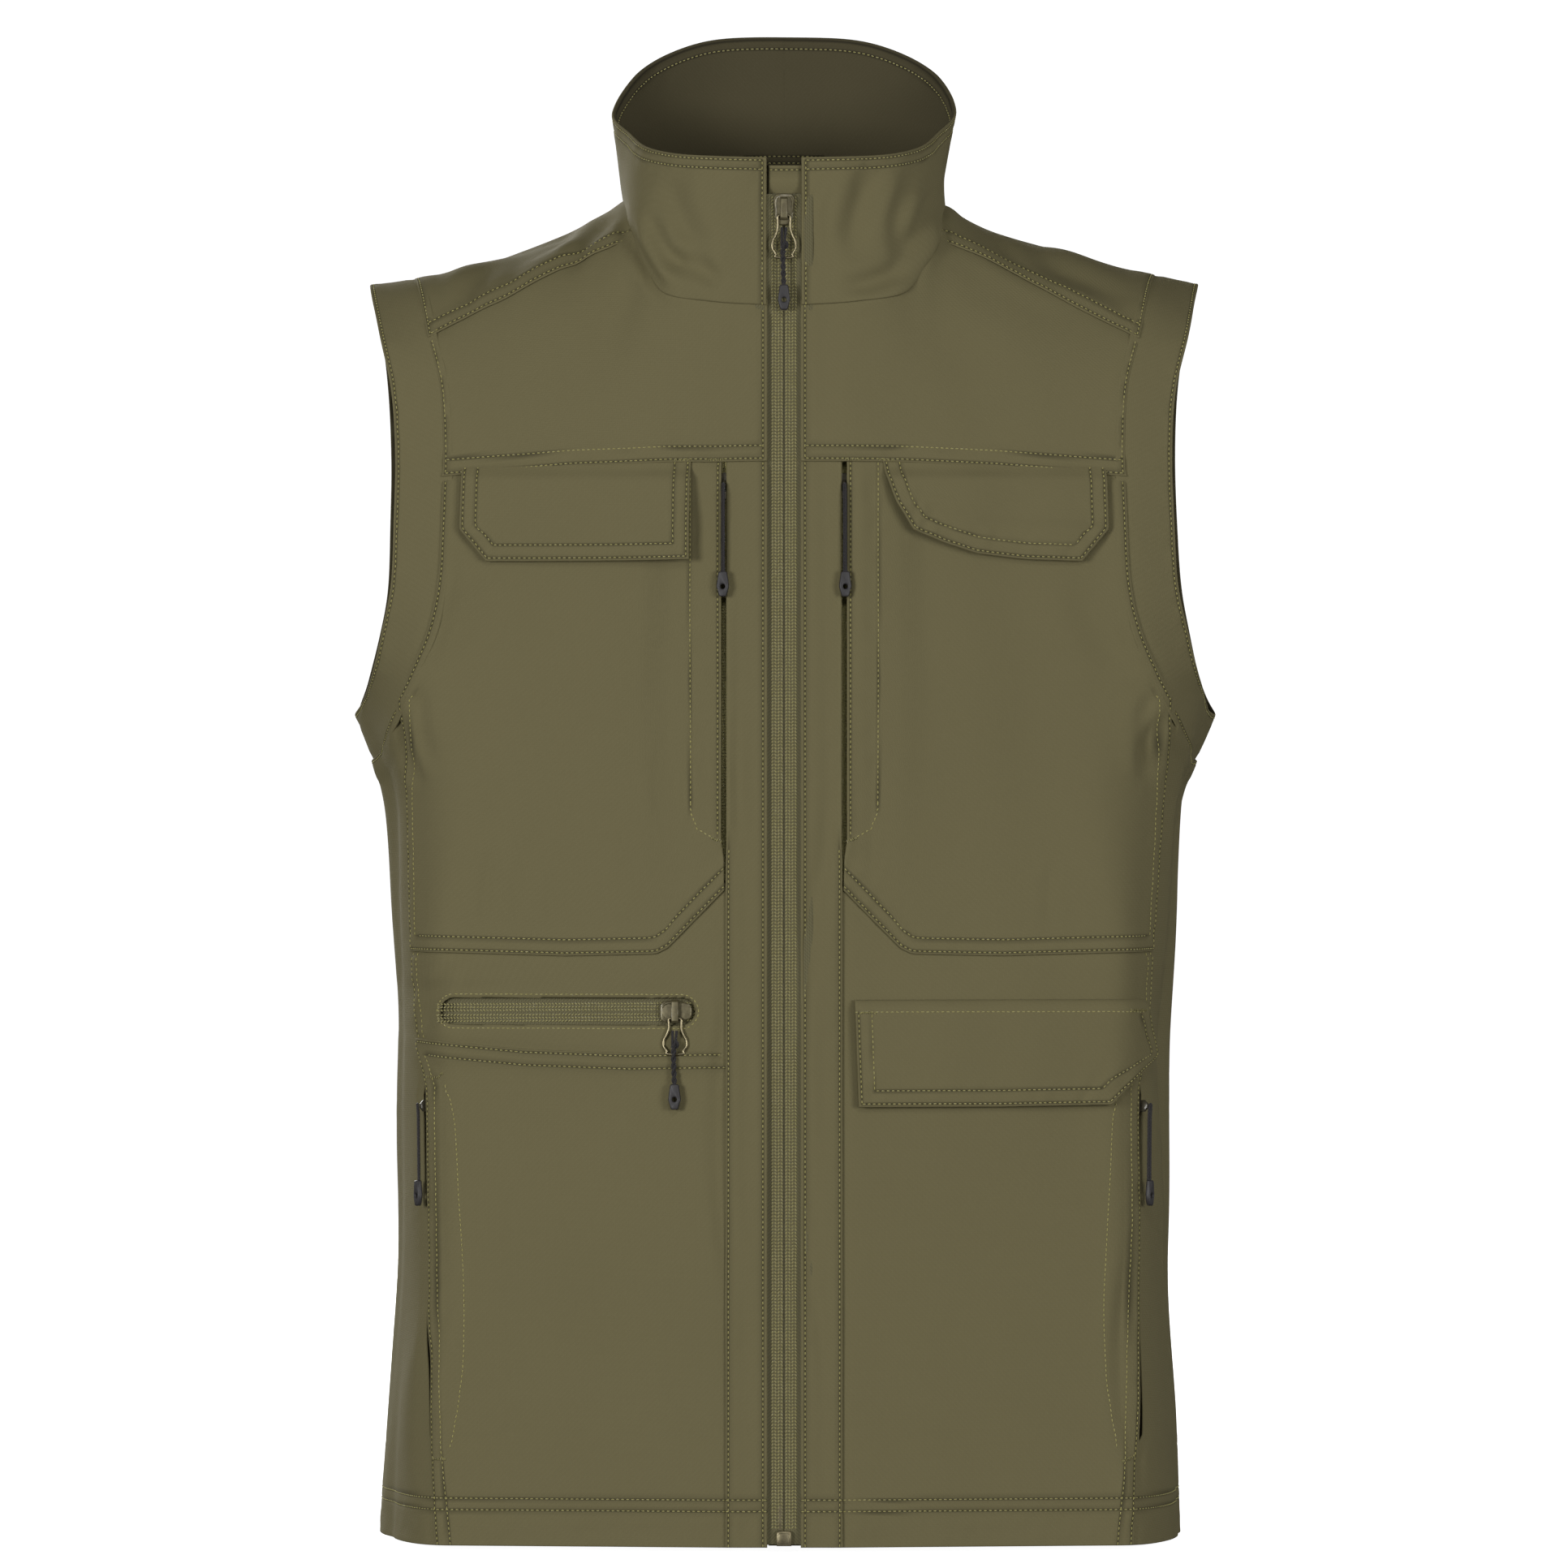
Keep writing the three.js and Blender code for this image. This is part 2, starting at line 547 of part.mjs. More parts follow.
function mouldedEnd(from, length) {
  const half = [[1.7, -from], [2.3, -from - 0.4], [3.25, -from - length * 0.62], [1.7, -from - length + 0.3],
    [1.4, -from - length]];
  const eye = from + length * 0.6;
  const hole = Array.from({ length: 8 }, (_, i) => {
    const angle = (i * Math.PI) / 4;
    return [Math.cos(angle) * 1.2, Math.sin(angle) * 1.2 - eye];
  });
  return slab(mirroredOutline(half), hole, 0.4, 3.4);
}

// A pocket zip's closed tape with a long slot that the slider's post runs in, between depths.
function slottedTape(half, low, high, slotLow, slotHigh, out0, out1) {
  const outline = [[-half, low], [half, low], [half, high], [-half, high]];
  const gap = TAPE_GAP;
  return slab(outline, [[-gap, slotLow], [gap, slotLow], [gap, slotHigh], [-gap, slotHigh]], out0, out1);
}

// A slider that runs behind a slit: narrow plates inside, a stem through the slit and an eye outside.
function slitSlider(reach) {
  const plate = block([-3.5, -7, -3.9], [3.5, 7, -2.1]);
  const back = block([-3.5, -7, -7.2], [3.5, 7, -6.1]);
  const post = block([-0.4, -0.4, -6.3], [0.4, 0.4, -3.7]);
  const stem = block([-1.1, -3, -2.3], [1.1, 3, reach + 1.6]);
  const eye = block([-2, -1.1, reach - 1.1], [2, 1.1, reach + 1.1]);
  return cut(joined(plate, back, post, stem), eye);
}

// A cord pull with its moulded end for a hidden slider. Origin on its pivot.
function cordPull(length) {
  const loop = slab(mirroredOutline([[2.5, 0.6], [2.5, -5], [1, -8], [1, 12 - length]]),
    mirroredOutline([[1.7, -0.6], [1.7, -4.6], [0.4, -6.6]]), -0.6, 0.6);
  const end = mouldedEnd(length - 13.2, 13.2).translate(0, 0, -1.9);
  return joined(loop, end);
}

function mainZip() {
  const at = (x, z) => frameAt(new THREE.Vector3(x, -frontDepth(z), z), UP_FRONT, OUT_FRONT);
  const hem = at(0, 0);
  const stretch = 1 / UP_FRONT.z;
  for (const side of [-1, 1]) {
    const name = sideName(side);
    const strip = (x0, x1, low, high, out0, out1) => {
      const [left, right] = side < 0 ? [-x1, -x0] : [x0, x1];
      return block([left, low * stretch, out0], [right, high * stretch, out1]);
    };
    add(`main_tape_${name}`, strip(TAPE_GAP, 15, side < 0 ? 1.5 : 9.5, 699, -2.7, -2.1), COLOURS.tape, hem);
    add(`main_coil_${name}`, strip(TAPE_GAP, 3.6, side < 0 ? 21 : 9.5, 697, -4.4, -3.0), COLOURS.tape, hem);
  }
  const boxBody = cut(block([-3.8, 0.8, -6.2], [3.8, 8.6, 0.8]), block([-5, 0, -4.8], [3.4, 9, -1.6]));
  add("zip_retainer_box", boxBody, COLOURS.metal, hem);
  add("zip_insertion_pin", block([-3.2, 2, -4.4], [-TAPE_GAP, 20.6, -3.0]), COLOURS.metal, hem);
  add("zip_facing", block([-8, 10, -7.8], [26, 712 * stretch, -6.8]), COLOURS.fabric, hem);
  add("main_slider", slider(false), COLOURS.metal, at(0, 691));
  const pivot = at(0, 691).multiply(new THREE.Matrix4().makeTranslation(0, PULL_PIVOT.along, PULL_PIVOT.out));
  add("main_pull", wirePull(22.6), COLOURS.metal, pivot);
  add("main_pull_cord", pullCord(7, 35.8), COLOURS.cord, pivot);
  add("main_pull_end", mouldedEnd(36.2, 13.2), COLOURS.plastic, pivot);
}

function chestZip(side) {
  const name = sideName(side);
  const { x, low, high, travel } = CHEST_ZIP;
  const top = high - 6;
  const frame = slopedFrame(side, x, top);
  const bottom = (low - top) / UP_FRONT.z;
  add(`chest_zip_tape_${name}`, slottedTape(6, bottom, 5, -travel - 4, 2, -5.6, -4.4), COLOURS.tape, frame);
  add(`chest_zip_slider_${name}`, slitSlider(1.6), COLOURS.metal,
    frame.clone().multiply(new THREE.Matrix4().makeTranslation(0, -2.5, 0)));
  add(`chest_zip_pull_${name}`, cordPull(58), COLOURS.cord,
    frame.clone().multiply(new THREE.Matrix4().makeTranslation(0, -2.5, 1.6)));
}

const lowerZipFrame = (x) => slopedFrame(-1, x, LOWER_ZIP.z);

function lowerZip() {
  const { x0, travel } = LOWER_ZIP;
  const start = x0 + 12;
  const frame = lowerZipFrame(start);
  const turned = frame.clone().multiply(new THREE.Matrix4().makeRotationZ(Math.PI / 2));
  const stretch = Math.hypot(1, FRONT_SLOPE);
  const tapeEnd = (166 - start) * stretch;
  const post = start + travel / stretch;
  add("lower_zip_tape", slottedTape(9.5, -10, tapeEnd, -2, (post - start) * stretch + 2, -3.3, -2.1),
    COLOURS.tape, turned);
  add("lower_zip_slider", slider(true), COLOURS.metal, frame);
  const toPivot = new THREE.Matrix4().makeTranslation(0, PULL_PIVOT.along, PULL_PIVOT.out);
  const pivot = frame.clone().multiply(toPivot);
  add("lower_zip_pull", wirePull(19), COLOURS.metal, pivot);
  add("lower_zip_pull_cord", pullCord(7, 33.6), COLOURS.cord, pivot);
  add("lower_zip_pull_end", mouldedEnd(34, 13.2), COLOURS.plastic, pivot);
}

// The hand zip's straight line, from its lower to its upper end.
function handFrame(side, atTop) {
  const low = onFront(...HAND_ZIP.low);
  const high = onFront(...HAND_ZIP.high);
  const middle = [(HAND_ZIP.low[0] + HAND_ZIP.high[0]) / 2, (HAND_ZIP.low[1] + HAND_ZIP.high[1]) / 2];
  const step = 2;
  const tangent = onFront(middle[0] + step, middle[1]).sub(onFront(middle[0] - step, middle[1]));
  const outward = tangent.cross(high.clone().sub(low));
  [low, high, outward].forEach((p) => mirrored(side, p));
  return frameAt(atTop ? high : low, high.clone().sub(low), outward);
}

const HAND_LENGTH = onFront(...HAND_ZIP.low).distanceTo(onFront(...HAND_ZIP.high));
const HAND_REACH = 3.4;

function handZip(side) {
  const name = sideName(side);
  const frame = handFrame(side, true).multiply(new THREE.Matrix4().makeTranslation(0, -10, 0));
  const drop = HAND_LENGTH - 10;
  const tape = slottedTape(5, -drop - 3, 13, -HAND_ZIP.travel - 2, 2, -8.6, -7.4);
  add(`hand_zip_tape_${name}`, tape, COLOURS.tape, frame);
  const body = slitSlider(HAND_REACH + 3).translate(0, 0, -3);
  add(`hand_zip_slider_${name}`, body, COLOURS.metal, frame);
  add(`hand_zip_pull_${name}`, cordPull(52), COLOURS.cord,
    frame.clone().multiply(new THREE.Matrix4().makeTranslation(0, 0, HAND_REACH)));
}

function handSlot(side) {
  const slot = block([-2.2, 0, -12], [2.2, HAND_LENGTH, 12]);
  return slot.applyMatrix4(handFrame(side, false));
}

function lowerSlot() {
  const { x0, x1, height } = LOWER_ZIP;
  const length = (x1 - x0) * Math.hypot(1, FRONT_SLOPE);
  const r = height / 2;
  const end = (x, from) => Array.from({ length: 7 }, (_, i) => {
    const angle = from + (i * Math.PI) / 6;
    return [x + r * Math.cos(angle), r * Math.sin(angle)];
  });
  const outline = [...end(length - 10 - r, -Math.PI / 2), ...end(r, Math.PI / 2)];
  const slot = slab(outline.map(([x, y]) => [-x, y]).reverse(), null, -8, 8);
  return slot.applyMatrix4(lowerZipFrame(x0));
}

function hangerLoop() {
  const outline = [[-22, -3], [22, -3], [22, 3], [-22, 3]];
  const bow = 10;
  const arc = (depth) => Array.from({ length: 9 }, (_, i) => {
    const t = -1 + i / 4;
    return [t * outline[1][0], depth - bow * (1 - t * t)];
  });
  const loop = slab([...arc(0), ...arc(-1.4).reverse()], null, -3, 3);
  return loop.translate(0, through(BACK_DEPTH, 720) - 3.4, 724);
}

// ---- assembly ----

add("back_panel", backPanel(), COLOURS.fabric);
add("back_yoke", backYoke(), COLOURS.fabric);
add("hanger_loop", hangerLoop(), COLOURS.lining);
const collar = collarPieces();
add("collar_back", collar.back, COLOURS.fabric);
for (const side of [-1, 1]) {
  const name = sideName(side);
  const [bandFront, bandRear] = armholeBands(side);
  add(`collar_front_${name}`, collar[name], COLOURS.fabric);
  add(`armhole_band_front_${name}`, bandFront, COLOURS.fabric);
  add(`armhole_band_rear_${name}`, bandRear, COLOURS.fabric);
  add(`shoulder_yoke_${name}`, shoulderYoke(side), COLOURS.fabric);
  add(`side_panel_${name}`, sidePanel(side), COLOURS.fabric);
  add(`chest_yoke_${name}`, chestYoke(side), COLOURS.fabric);
  add(`chest_pocket_${name}`, chestPocket(side), COLOURS.fabric);
  const slots = side < 0 ? [handSlot(side), lowerSlot()] : [handSlot(side)];
  add(`lower_front_${name}`, cut(lowerFront(side), ...slots), COLOURS.fabric);
  add(`placket_${name}`, placket(side), COLOURS.fabric);
  add(`chest_flap_${name}`, chestFlap(side), COLOURS.fabric);
  add(`chest_bag_${name}`, pocketBag(side, 39, 160, 330, 545, 4.4), COLOURS.lining);
  add(`hand_bag_${name}`, pocketBag(side, 70, 172, 40, 222, 6.4), COLOURS.lining);
  chestZip(side);
  handZip(side);
}
add("lower_flap_left", lowerFlap(1), COLOURS.fabric);
add("lower_flap_bag_left", pocketBag(1, 38, 164, 70, 272, 3.0), COLOURS.lining);
add("lower_zip_bag_right", pocketBag(-1, 46, 164, 110, 263, 3.0), COLOURS.lining);
mainZip();
lowerZip();

export default group;
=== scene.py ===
"""Stand-collar fishing vest with chest, lower and hand pockets, for Blender 4.5.

The shell is laid out in millimetres on one smooth body form, as in the CAD, and every mesh is made in
metres. Origin at the middle of the hem, +Z up, the front faces -Y and the wearer's left is +X.
"""
import math

import bpy
import numpy as np
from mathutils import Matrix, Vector
from mathutils.geometry import tessellate_polygon


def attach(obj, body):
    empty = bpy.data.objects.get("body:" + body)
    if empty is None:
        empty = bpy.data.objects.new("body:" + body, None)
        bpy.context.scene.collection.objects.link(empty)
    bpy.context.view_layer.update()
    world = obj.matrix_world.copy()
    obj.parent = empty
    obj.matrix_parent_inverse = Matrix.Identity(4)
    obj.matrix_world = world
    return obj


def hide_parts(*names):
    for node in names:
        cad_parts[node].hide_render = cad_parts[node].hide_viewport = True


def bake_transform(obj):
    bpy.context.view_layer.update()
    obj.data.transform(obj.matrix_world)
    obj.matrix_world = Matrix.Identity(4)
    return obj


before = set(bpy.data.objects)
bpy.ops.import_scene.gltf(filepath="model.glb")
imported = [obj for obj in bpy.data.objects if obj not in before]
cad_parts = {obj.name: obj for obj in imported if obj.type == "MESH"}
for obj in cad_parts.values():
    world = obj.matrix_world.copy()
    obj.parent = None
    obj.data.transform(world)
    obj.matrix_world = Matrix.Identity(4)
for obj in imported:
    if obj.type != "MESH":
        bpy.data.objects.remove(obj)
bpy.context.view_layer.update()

MM = 0.001

# ---- body form, millimetres ----
HEM_FRONT = 128.0  # depth of the front at the hem
FRONT_LEAN = 42 / 720  # the centre front leans back by this much
MID_Y = 8.0  # depth of the side line and of the shoulder ridge
FLAT = 30.0  # half width of the flat centre front
FRONT_SLOPE = 0.12  # how fast each front recedes outside that
CORNER_POWER = 2.2  # how square the body is where front turns to side
BACK_POWER = 2.6  # the same for the back
CROWN = 2.5  # how square it is where the chest turns over the shoulder
CHEST_Z = 560.0  # where that turn begins
BACK_YOKE_Z = 600.0

# By height: half width, width of the front corner and depth of the back. RIDGE is shoulder height by x.
HALF_WIDTH = [(0, 208), (60, 205.5), (150, 201), (250, 201), (337, 205), (379, 209), (406, 216),
              (430, 226), (470, 234), (560, 239), (800, 242)]
CORNER = [(0, 35), (300, 35), (430, 60), (800, 60)]
BACK_DEPTH = [(0, 110), (250, 105), (420, 123), (520, 128), (600, 121), (680, 86), (716, 64)]
RIDGE = [(0, 1000), (50, 790), (72, 722), (84, 700), (145, 674), (183, 662), (220, 655), (242, 652)]

# Seams: (distance from the middle, height)
YOKE_SEAM = [(80, 677), (111, 662), (137, 648), (162, 636), (185, 625)]
CHEST_SEAM = [(8.6, 560), (60, 559.5), (110, 557.5), (178, 552.5)]
SIDE_SEAM = [(180, 0), (187, 60), (191, 150), (192, 300), (198, 400), (201, 437)]
BACK_SIDE_SEAM = [(180, 0), (187, 60), (190, 150), (192, 300), (199, 400), (207, 433)]
POCKET_SEAM = [(30.7, 338), (60, 308), (66, 305), (113, 304), (192, 306)]
LOWER_SEAM = [(29.5, 255), (80, 254), (135, 256), (192, 261)]
EDGE_FRONT = [(211, 627), (204, 597), (202, 564), (203, 530), (205, 496), (210, 473), (216, 450)]
BAND_FRONT = [(185, 625), (179, 601), (177, 564), (178, 530), (180, 496), (185, 473), (196, 447)]
EDGE_BACK = [(221, 450), (216, 473), (212, 496), (210, 530), (209, 564), (210, 597), (213, 627)]
BAND_BACK = [(202, 440), (193, 466), (188, 496), (187, 530), (186, 564), (187, 600), (189, 627)]
NECK_FRONT = [(9, 641), (38, 643), (63, 648), (75, 664), (80.5, 681)]
NECK_BACK = [(72, 708), (40, 714), (0, 716)]
# Top edge of the collar: (x, depth, height)
COLLAR_TOP = [(9, -86, 718), (34, -85.6, 718.5), (56, -75, 720.5), (72, -56, 725), (83, -28, 734),
              (91, 4, 746), (78, 38, 770), (44, 61, 787), (0, 68, 790)]

# ---- cloth ----
CLOTH = 1.3  # thickness of a panel
LAP = 1.1  # how far a folded edge stands over the panel it is sewn to
TUCK = 5.0  # how far a panel runs on under its neighbour
STEP = 2.6  # mesh spacing in the open cloth
STITCH = 1.55  # length of a stitch
STITCH_PITCH = 2.6
THREAD = 0.3  # half the thickness of thread
TOPSTITCH = 1.6  # first row from a seam
TWIN = 8.2  # second row
HEM_ROWS = (18.5, 24.4)
FLUSH = 0.5  # the lap over an armhole band
HEM_REACH = 15.0  # rows further in than this run on from panel to panel


# ---- curves and surfaces ----
def smooth(low, high, value):
    t = np.clip((value - low) / (high - low), 0, 1)
    return t * t * (3 - 2 * t)


def through(knots, at):
    """A monotone cubic through the knots, flat outside them."""
    x, y = np.array(knots, float).T
    rise = np.diff(y) / np.diff(x)
    a, b = rise[:-1], rise[1:]
    total = np.where(a + b == 0, 1, a + b)
    slope = np.concatenate([rise[:1], np.where(a * b <= 0, 0, 2 * a * b / total), rise[-1:]])
    at = np.clip(at, x[0], x[-1])
    i = np.clip(np.searchsorted(x, at, "right") - 1, 0, len(x) - 2)
    h = x[i + 1] - x[i]
    t = (at - x[i]) / h
    return (y[i] * (1 + 2 * t) * (1 - t) ** 2 + slope[i] * h * t * (1 - t) ** 2
            + y[i + 1] * t * t * (3 - 2 * t) + slope[i + 1] * h * t * t * (t - 1))


def front_depth(z):
    return HEM_FRONT - FRONT_LEAN * z


def crown(x, z):
    up = (z - CHEST_Z) / (through(RIDGE, x) - CHEST_Z)
    t = np.clip(up * smooth(20, 70, x), 0, 1)
    return (1 - t ** CROWN) ** (1 / CROWN)


def front_base(x, z):
    a, corner = through(HALF_WIDTH, z), through(CORNER, z)
    v = np.clip((x - a + corner) / corner, 0, 1)
    deep = MID_Y + front_depth(z) - FRONT_SLOPE * (a - FLAT)
    turn = 1 - (1 - v ** CORNER_POWER) ** (1 / CORNER_POWER)
    return -front_depth(z) + FRONT_SLOPE * np.maximum(0, x - FLAT) + deep * turn


def back_base(x, z):
    across = np.clip(x / through(HALF_WIDTH, z), 0, 1)
    return MID_Y + (through(BACK_DEPTH, z) - MID_Y) * (1 - across ** BACK_POWER) ** (1 / BACK_POWER)


def points(x, y, z):
    return np.stack(np.broadcast_arrays(x, y, z), -1).astype(float)


def on_front(x, z):
    across = np.abs(x)
    return points(x, MID_Y + (front_base(across, z) - MID_Y) * crown(across, z), z)


def on_back(x, z):
    across = np.abs(x)
    return points(x, MID_Y + (back_base(across, z) - MID_Y) * crown(across, z), z)


def on_girth(girth, z):
    """Round the body: 0 at the centre front, 1 at the side, 2 at the centre back."""
    x = through(HALF_WIDTH, z) * np.sin(girth * math.pi / 2)
    ahead = (girth < 1)[..., None]
    return np.where(ahead, on_front(x, z), on_back(x, z))


def girth_of(x, z, back=False):
    front = np.arcsin(np.clip(x / through(HALF_WIDTH, z), 0, 1)) * 2 / math.pi
    return 2 - front if back else front


def on_shoulder(x, roll):
    """Over the shoulder: roll is negative ahead of the ridge and positive behind it."""
    z = CHEST_Z + (through(RIDGE, x) - CHEST_Z) * np.cos(roll) ** (2 / CROWN)
    base = np.where(roll < 0, front_base(x, z), back_base(x, z))
    return points(x, MID_Y + (base - MID_Y) * np.abs(np.sin(roll)) ** (2 / CROWN), z)


def roll_of(x, z):
    up = np.clip((z - CHEST_Z) / (through(RIDGE, x) - CHEST_Z), 0, 1)
    return np.arccos(up ** (CROWN / 2))


def measured(p):
    """The length run at each point of a path."""
    return np.concatenate([[0], np.cumsum(np.linalg.norm(np.diff(p, axis=0), axis=1))])


def picked(at, knots, values):
    """Rows of values at those places between knots."""
    return np.stack([np.interp(at, knots, values[:, k]) for k in range(values.shape[1])], -1)


def along(outline):
    """A function of 0..1 along a polyline, by length."""
    p = np.array(outline, float)
    length = measured(p)
    return lambda t: picked(np.asarray(t) * length[-1], length, p)


def along_knots(curve):
    """By knot, so that two curves through matching points run side by side."""
    knots = np.linspace(0, 1, len(curve))
    return lambda t: picked(t, knots, curve)


def smoothed(outline, per=6):
    """A centripetal Catmull-Rom curve through the points of an outline, open, as a finer polyline."""
    p = np.array(outline, float)
    p = np.concatenate([[2 * p[0] - p[1]], p, [2 * p[-1] - p[-2]]])
    return np.array(spline(p, per) + [p[-2]])


def spline(p, per, closed=False):
    """Points through every control point of a loop, or from the second to the last but one."""
    count = len(p)
    out = []
    for i in range(count) if closed else range(1, count - 2):
        four = p[[(i - 1) % count, i, (i + 1) % count, (i + 2) % count]]
        out += catmull(four, np.linspace(0, 1, per, endpoint=False))
    return out


def catmull(p, ts):
    """Centripetal points between the middle two of four control points."""
    t = np.concatenate([[0], np.cumsum(np.sqrt(np.linalg.norm(np.diff(p, axis=0), axis=1)))])
    out = []
    for at in t[1] + ts * (t[2] - t[1]):
        a = [((t[i + 1] - at) * p[i] + (at - t[i]) * p[i + 1]) / (t[i + 1] - t[i]) for i in range(3)]
        b = [((t[i + 2] - at) * a[i] + (at - t[i]) * a[i + 1]) / (t[i + 2] - t[i]) for i in range(2)]
        out.append(((t[2] - at) * b[0] + (at - t[1]) * b[1]) / (t[2] - t[1]))
    return out


def shifted(outline, dx=0.0, dz=0.0):
    return [(x + dx, z + dz) for x, z in outline]


def between(outline, low, high):
    """The part of a rising outline between two heights."""
    p = np.array(outline, float)
    inner = p[(p[:, 1] > low) & (p[:, 1] < high)]
    end = lambda z: (np.interp(z, p[:, 1], p[:, 0]), z)
    return [end(low), *map(tuple, inner), end(high)]


def patch(bottom, right, top, left):
    """A Coons patch inside four edges."""
    edges = [along(e) for e in (bottom, right, top, left)]

    def inside(u, v):
        b, r, t, l = edges[0](u), edges[1](v), edges[2](u), edges[3](v)
        c00, c10, c01, c11 = edges[0](0), edges[0](1), edges[2](0), edges[2](1)
        u, v = u[..., None], v[..., None]
        return ((1 - v) * b + v * t + (1 - u) * l + u * r - (1 - u) * (1 - v) * c00
                - u * (1 - v) * c10 - (1 - u) * v * c01 - u * v * c11)

    return inside


# ---- folds in the cloth ----
def waves(p, size, seed, stretch=(1, 1, 1)):
    """Smooth seeded ripples of about that size, drawn out along an axis by stretch."""
    draw = np.random.RandomState(seed)
    total = 0
    for _ in range(8):
        way = draw.normal(size=3)
        way /= np.linalg.norm(way)
        phase, scale = draw.uniform(0, 2 * math.pi), draw.uniform(0.7, 1.5)
        total = total + np.sin((p / np.array(stretch)) @ way * 2 * math.pi / (size * scale) + phase)
    return total / math.sqrt(8)


# Creases on the fronts, yokes and collar: start and end (x, z), half width and depth
CREASES = [
    ((-100, 690), (-150, 655), 7, 2.5), ((-128, 686), (-170, 640), 6, 1.8), ((-88, 694), (-112, 660), 5, 1.6),
    ((95, 690), (160, 655), 8, 2.2), ((118, 690), (180, 646), 6, 1.8),
    ((-24, 640), (-24, 380), 6, 0.5), ((24, 380), (22, 90), 6, 1.3), ((-25, 300), (-21, 110), 5, 1.0),
    ((15, 330), (14, 60), 4, 0.8), ((-62, 420), (-64, 372), 3, 0.5), ((-150, 362), (-153, 318), 3, 0.6),
    ((-134, 358), (-137, 316), 2.6, 0.45), ((-118, 352), (-120, 316), 2.6, 0.35),
    ((140, 356), (138, 316), 3, 0.4), ((196, 430), (188, 395), 4, 1.6), ((-198, 430), (-190, 392), 4, 1.5),
    ((190, 440), (186, 402), 4, 1.0), ((-188, 446), (-184, 404), 4, 0.9),
    ((-30, 552), (-60, 590), 14, 0.5), ((60, 660), (110, 600), 16, 0.7), ((-70, 655), (-120, 590), 16, 0.6),
    ((-176, 120), (-184, 20), 5, 1.2), ((178, 150), (186, 20), 5, 1.2), ((-168, 300), (-188, 262), 4, 0.7),
    ((-70, 690), (-50, 655), 4.5, 2.2), ((-81, 686), (-61, 646), 4, 1.6), ((58, 663), (80, 706), 6, 2.5),
    ((30, 650), (64, 662), 5, 2.0), ((-32, 652), (-62, 668), 5, 2.0), ((22, 708), (16, 660), 7, 1.1),
    ((-61, 708), (-40, 662), 8, 2.0), ((49, 714), (33, 668), 7, 1.9), ((70, 712), (57, 670), 5, 1.7),
    ((-75, 660), (-95, 600), 9, 0.7), ((150, 500), (180, 452), 9, 0.8), ((-150, 500), (-182, 448), 9, 0.8),
]


def creased(p):
    total = np.zeros(p.shape[:-1])
    x, z = p[..., 0], p[..., 2]
    ahead = smooth(20, 0, p[..., 1])
    for (x0, z0), (x1, z1), width, depth in CREASES:
        run = math.hypot(x1 - x0, z1 - z0)
        ux, uz = (x1 - x0) / run, (z1 - z0) / run
        t = ((x - x0) * ux + (z - z0) * uz) / run
        bend = 0.06 * run * np.sin(math.pi * t)
        off = ((x - x0) * uz - (z - z0) * ux - bend) / width
        ends = smooth(-0.12, 0.3, t) * smooth(1.12, 0.7, t)
        total += depth * ends * (0.55 * np.exp(-(off - 1.7) ** 2) + 0.4 * np.exp(-(off + 1.7) ** 2)
                                 - np.exp(-off ** 2))
    return total * ahead


def relief(p):
    """How far the cloth stands off the body form at points on it."""
    x, y, z = np.abs(p[..., 0]), p[..., 1], p[..., 2]
    ahead = smooth(10, -60, y)
    calm = 1 - ahead * (1 - smooth(9, 26, x))  # still beside the main zip
    on_slit = ahead * smooth(7, 3, np.abs(x - 31)) * smooth(350, 366, z) * smooth(566, 550, z)
    lower_zip = smooth(-40, -46, p[..., 0]) * smooth(18, 10, np.abs(z - 275.5)) * ahead
    calm = calm * (1 - 0.85 * on_slit) * (1 - 0.8 * lower_zip)
    soft = 0.9 * waves(p, 150, 3) + 0.5 * waves(p, 60, 5, (0.8, 0.8, 1.6))
    side = smooth(-60, -20, y) * smooth(470, 380, z)
    drape = side * 1.5 * waves(p, 46, 8, (1, 1, 6)) + (1 - ahead) * 1.0 * waves(p, 90, 12, (1, 1, 3))
    return calm * (1.2 * soft + 1.6 * drape) + 1.6 * creased(p) * smooth(5, 14, x)


# ---- meshes ----
def make_mesh(name, vertices, faces, material, body=None, smooth_shade=True, inner=None, inner_faces=0):
    """A mesh object from points in millimetres. The last inner_faces faces take the inner material."""
    mesh = bpy.data.meshes.new(name)
    vertices = np.asarray(vertices, float) * MM
    mesh.from_pydata(vertices.tolist(), [], faces if isinstance(faces, list) else faces.tolist())
    mesh.materials.append(material)
    if inner:
        mesh.materials.append(inner)
        index = np.zeros(len(mesh.polygons), np.int32)
        index[len(index) - inner_faces:] = 1
        mesh.polygons.foreach_set("material_index", index)
    mesh.polygons.foreach_set("use_smooth", [smooth_shade] * len(mesh.polygons))
    mesh.validate()
    mesh.update()
    piece = bpy.data.objects.new(name, mesh)
    bpy.context.scene.collection.objects.link(piece)
    if body:
        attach(piece, body)
    return piece


def on_side(piece):
    """Bakes the piece's place into its mesh."""
    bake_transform(piece)


def hang(piece, key):
    """Key is a side, for cloth that is part shell and part front, or a body."""
    if isinstance(key, int):
        on_side(piece)
    else:
        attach(piece, key)


def side_name(side):
    return "right" if side < 0 else "left"


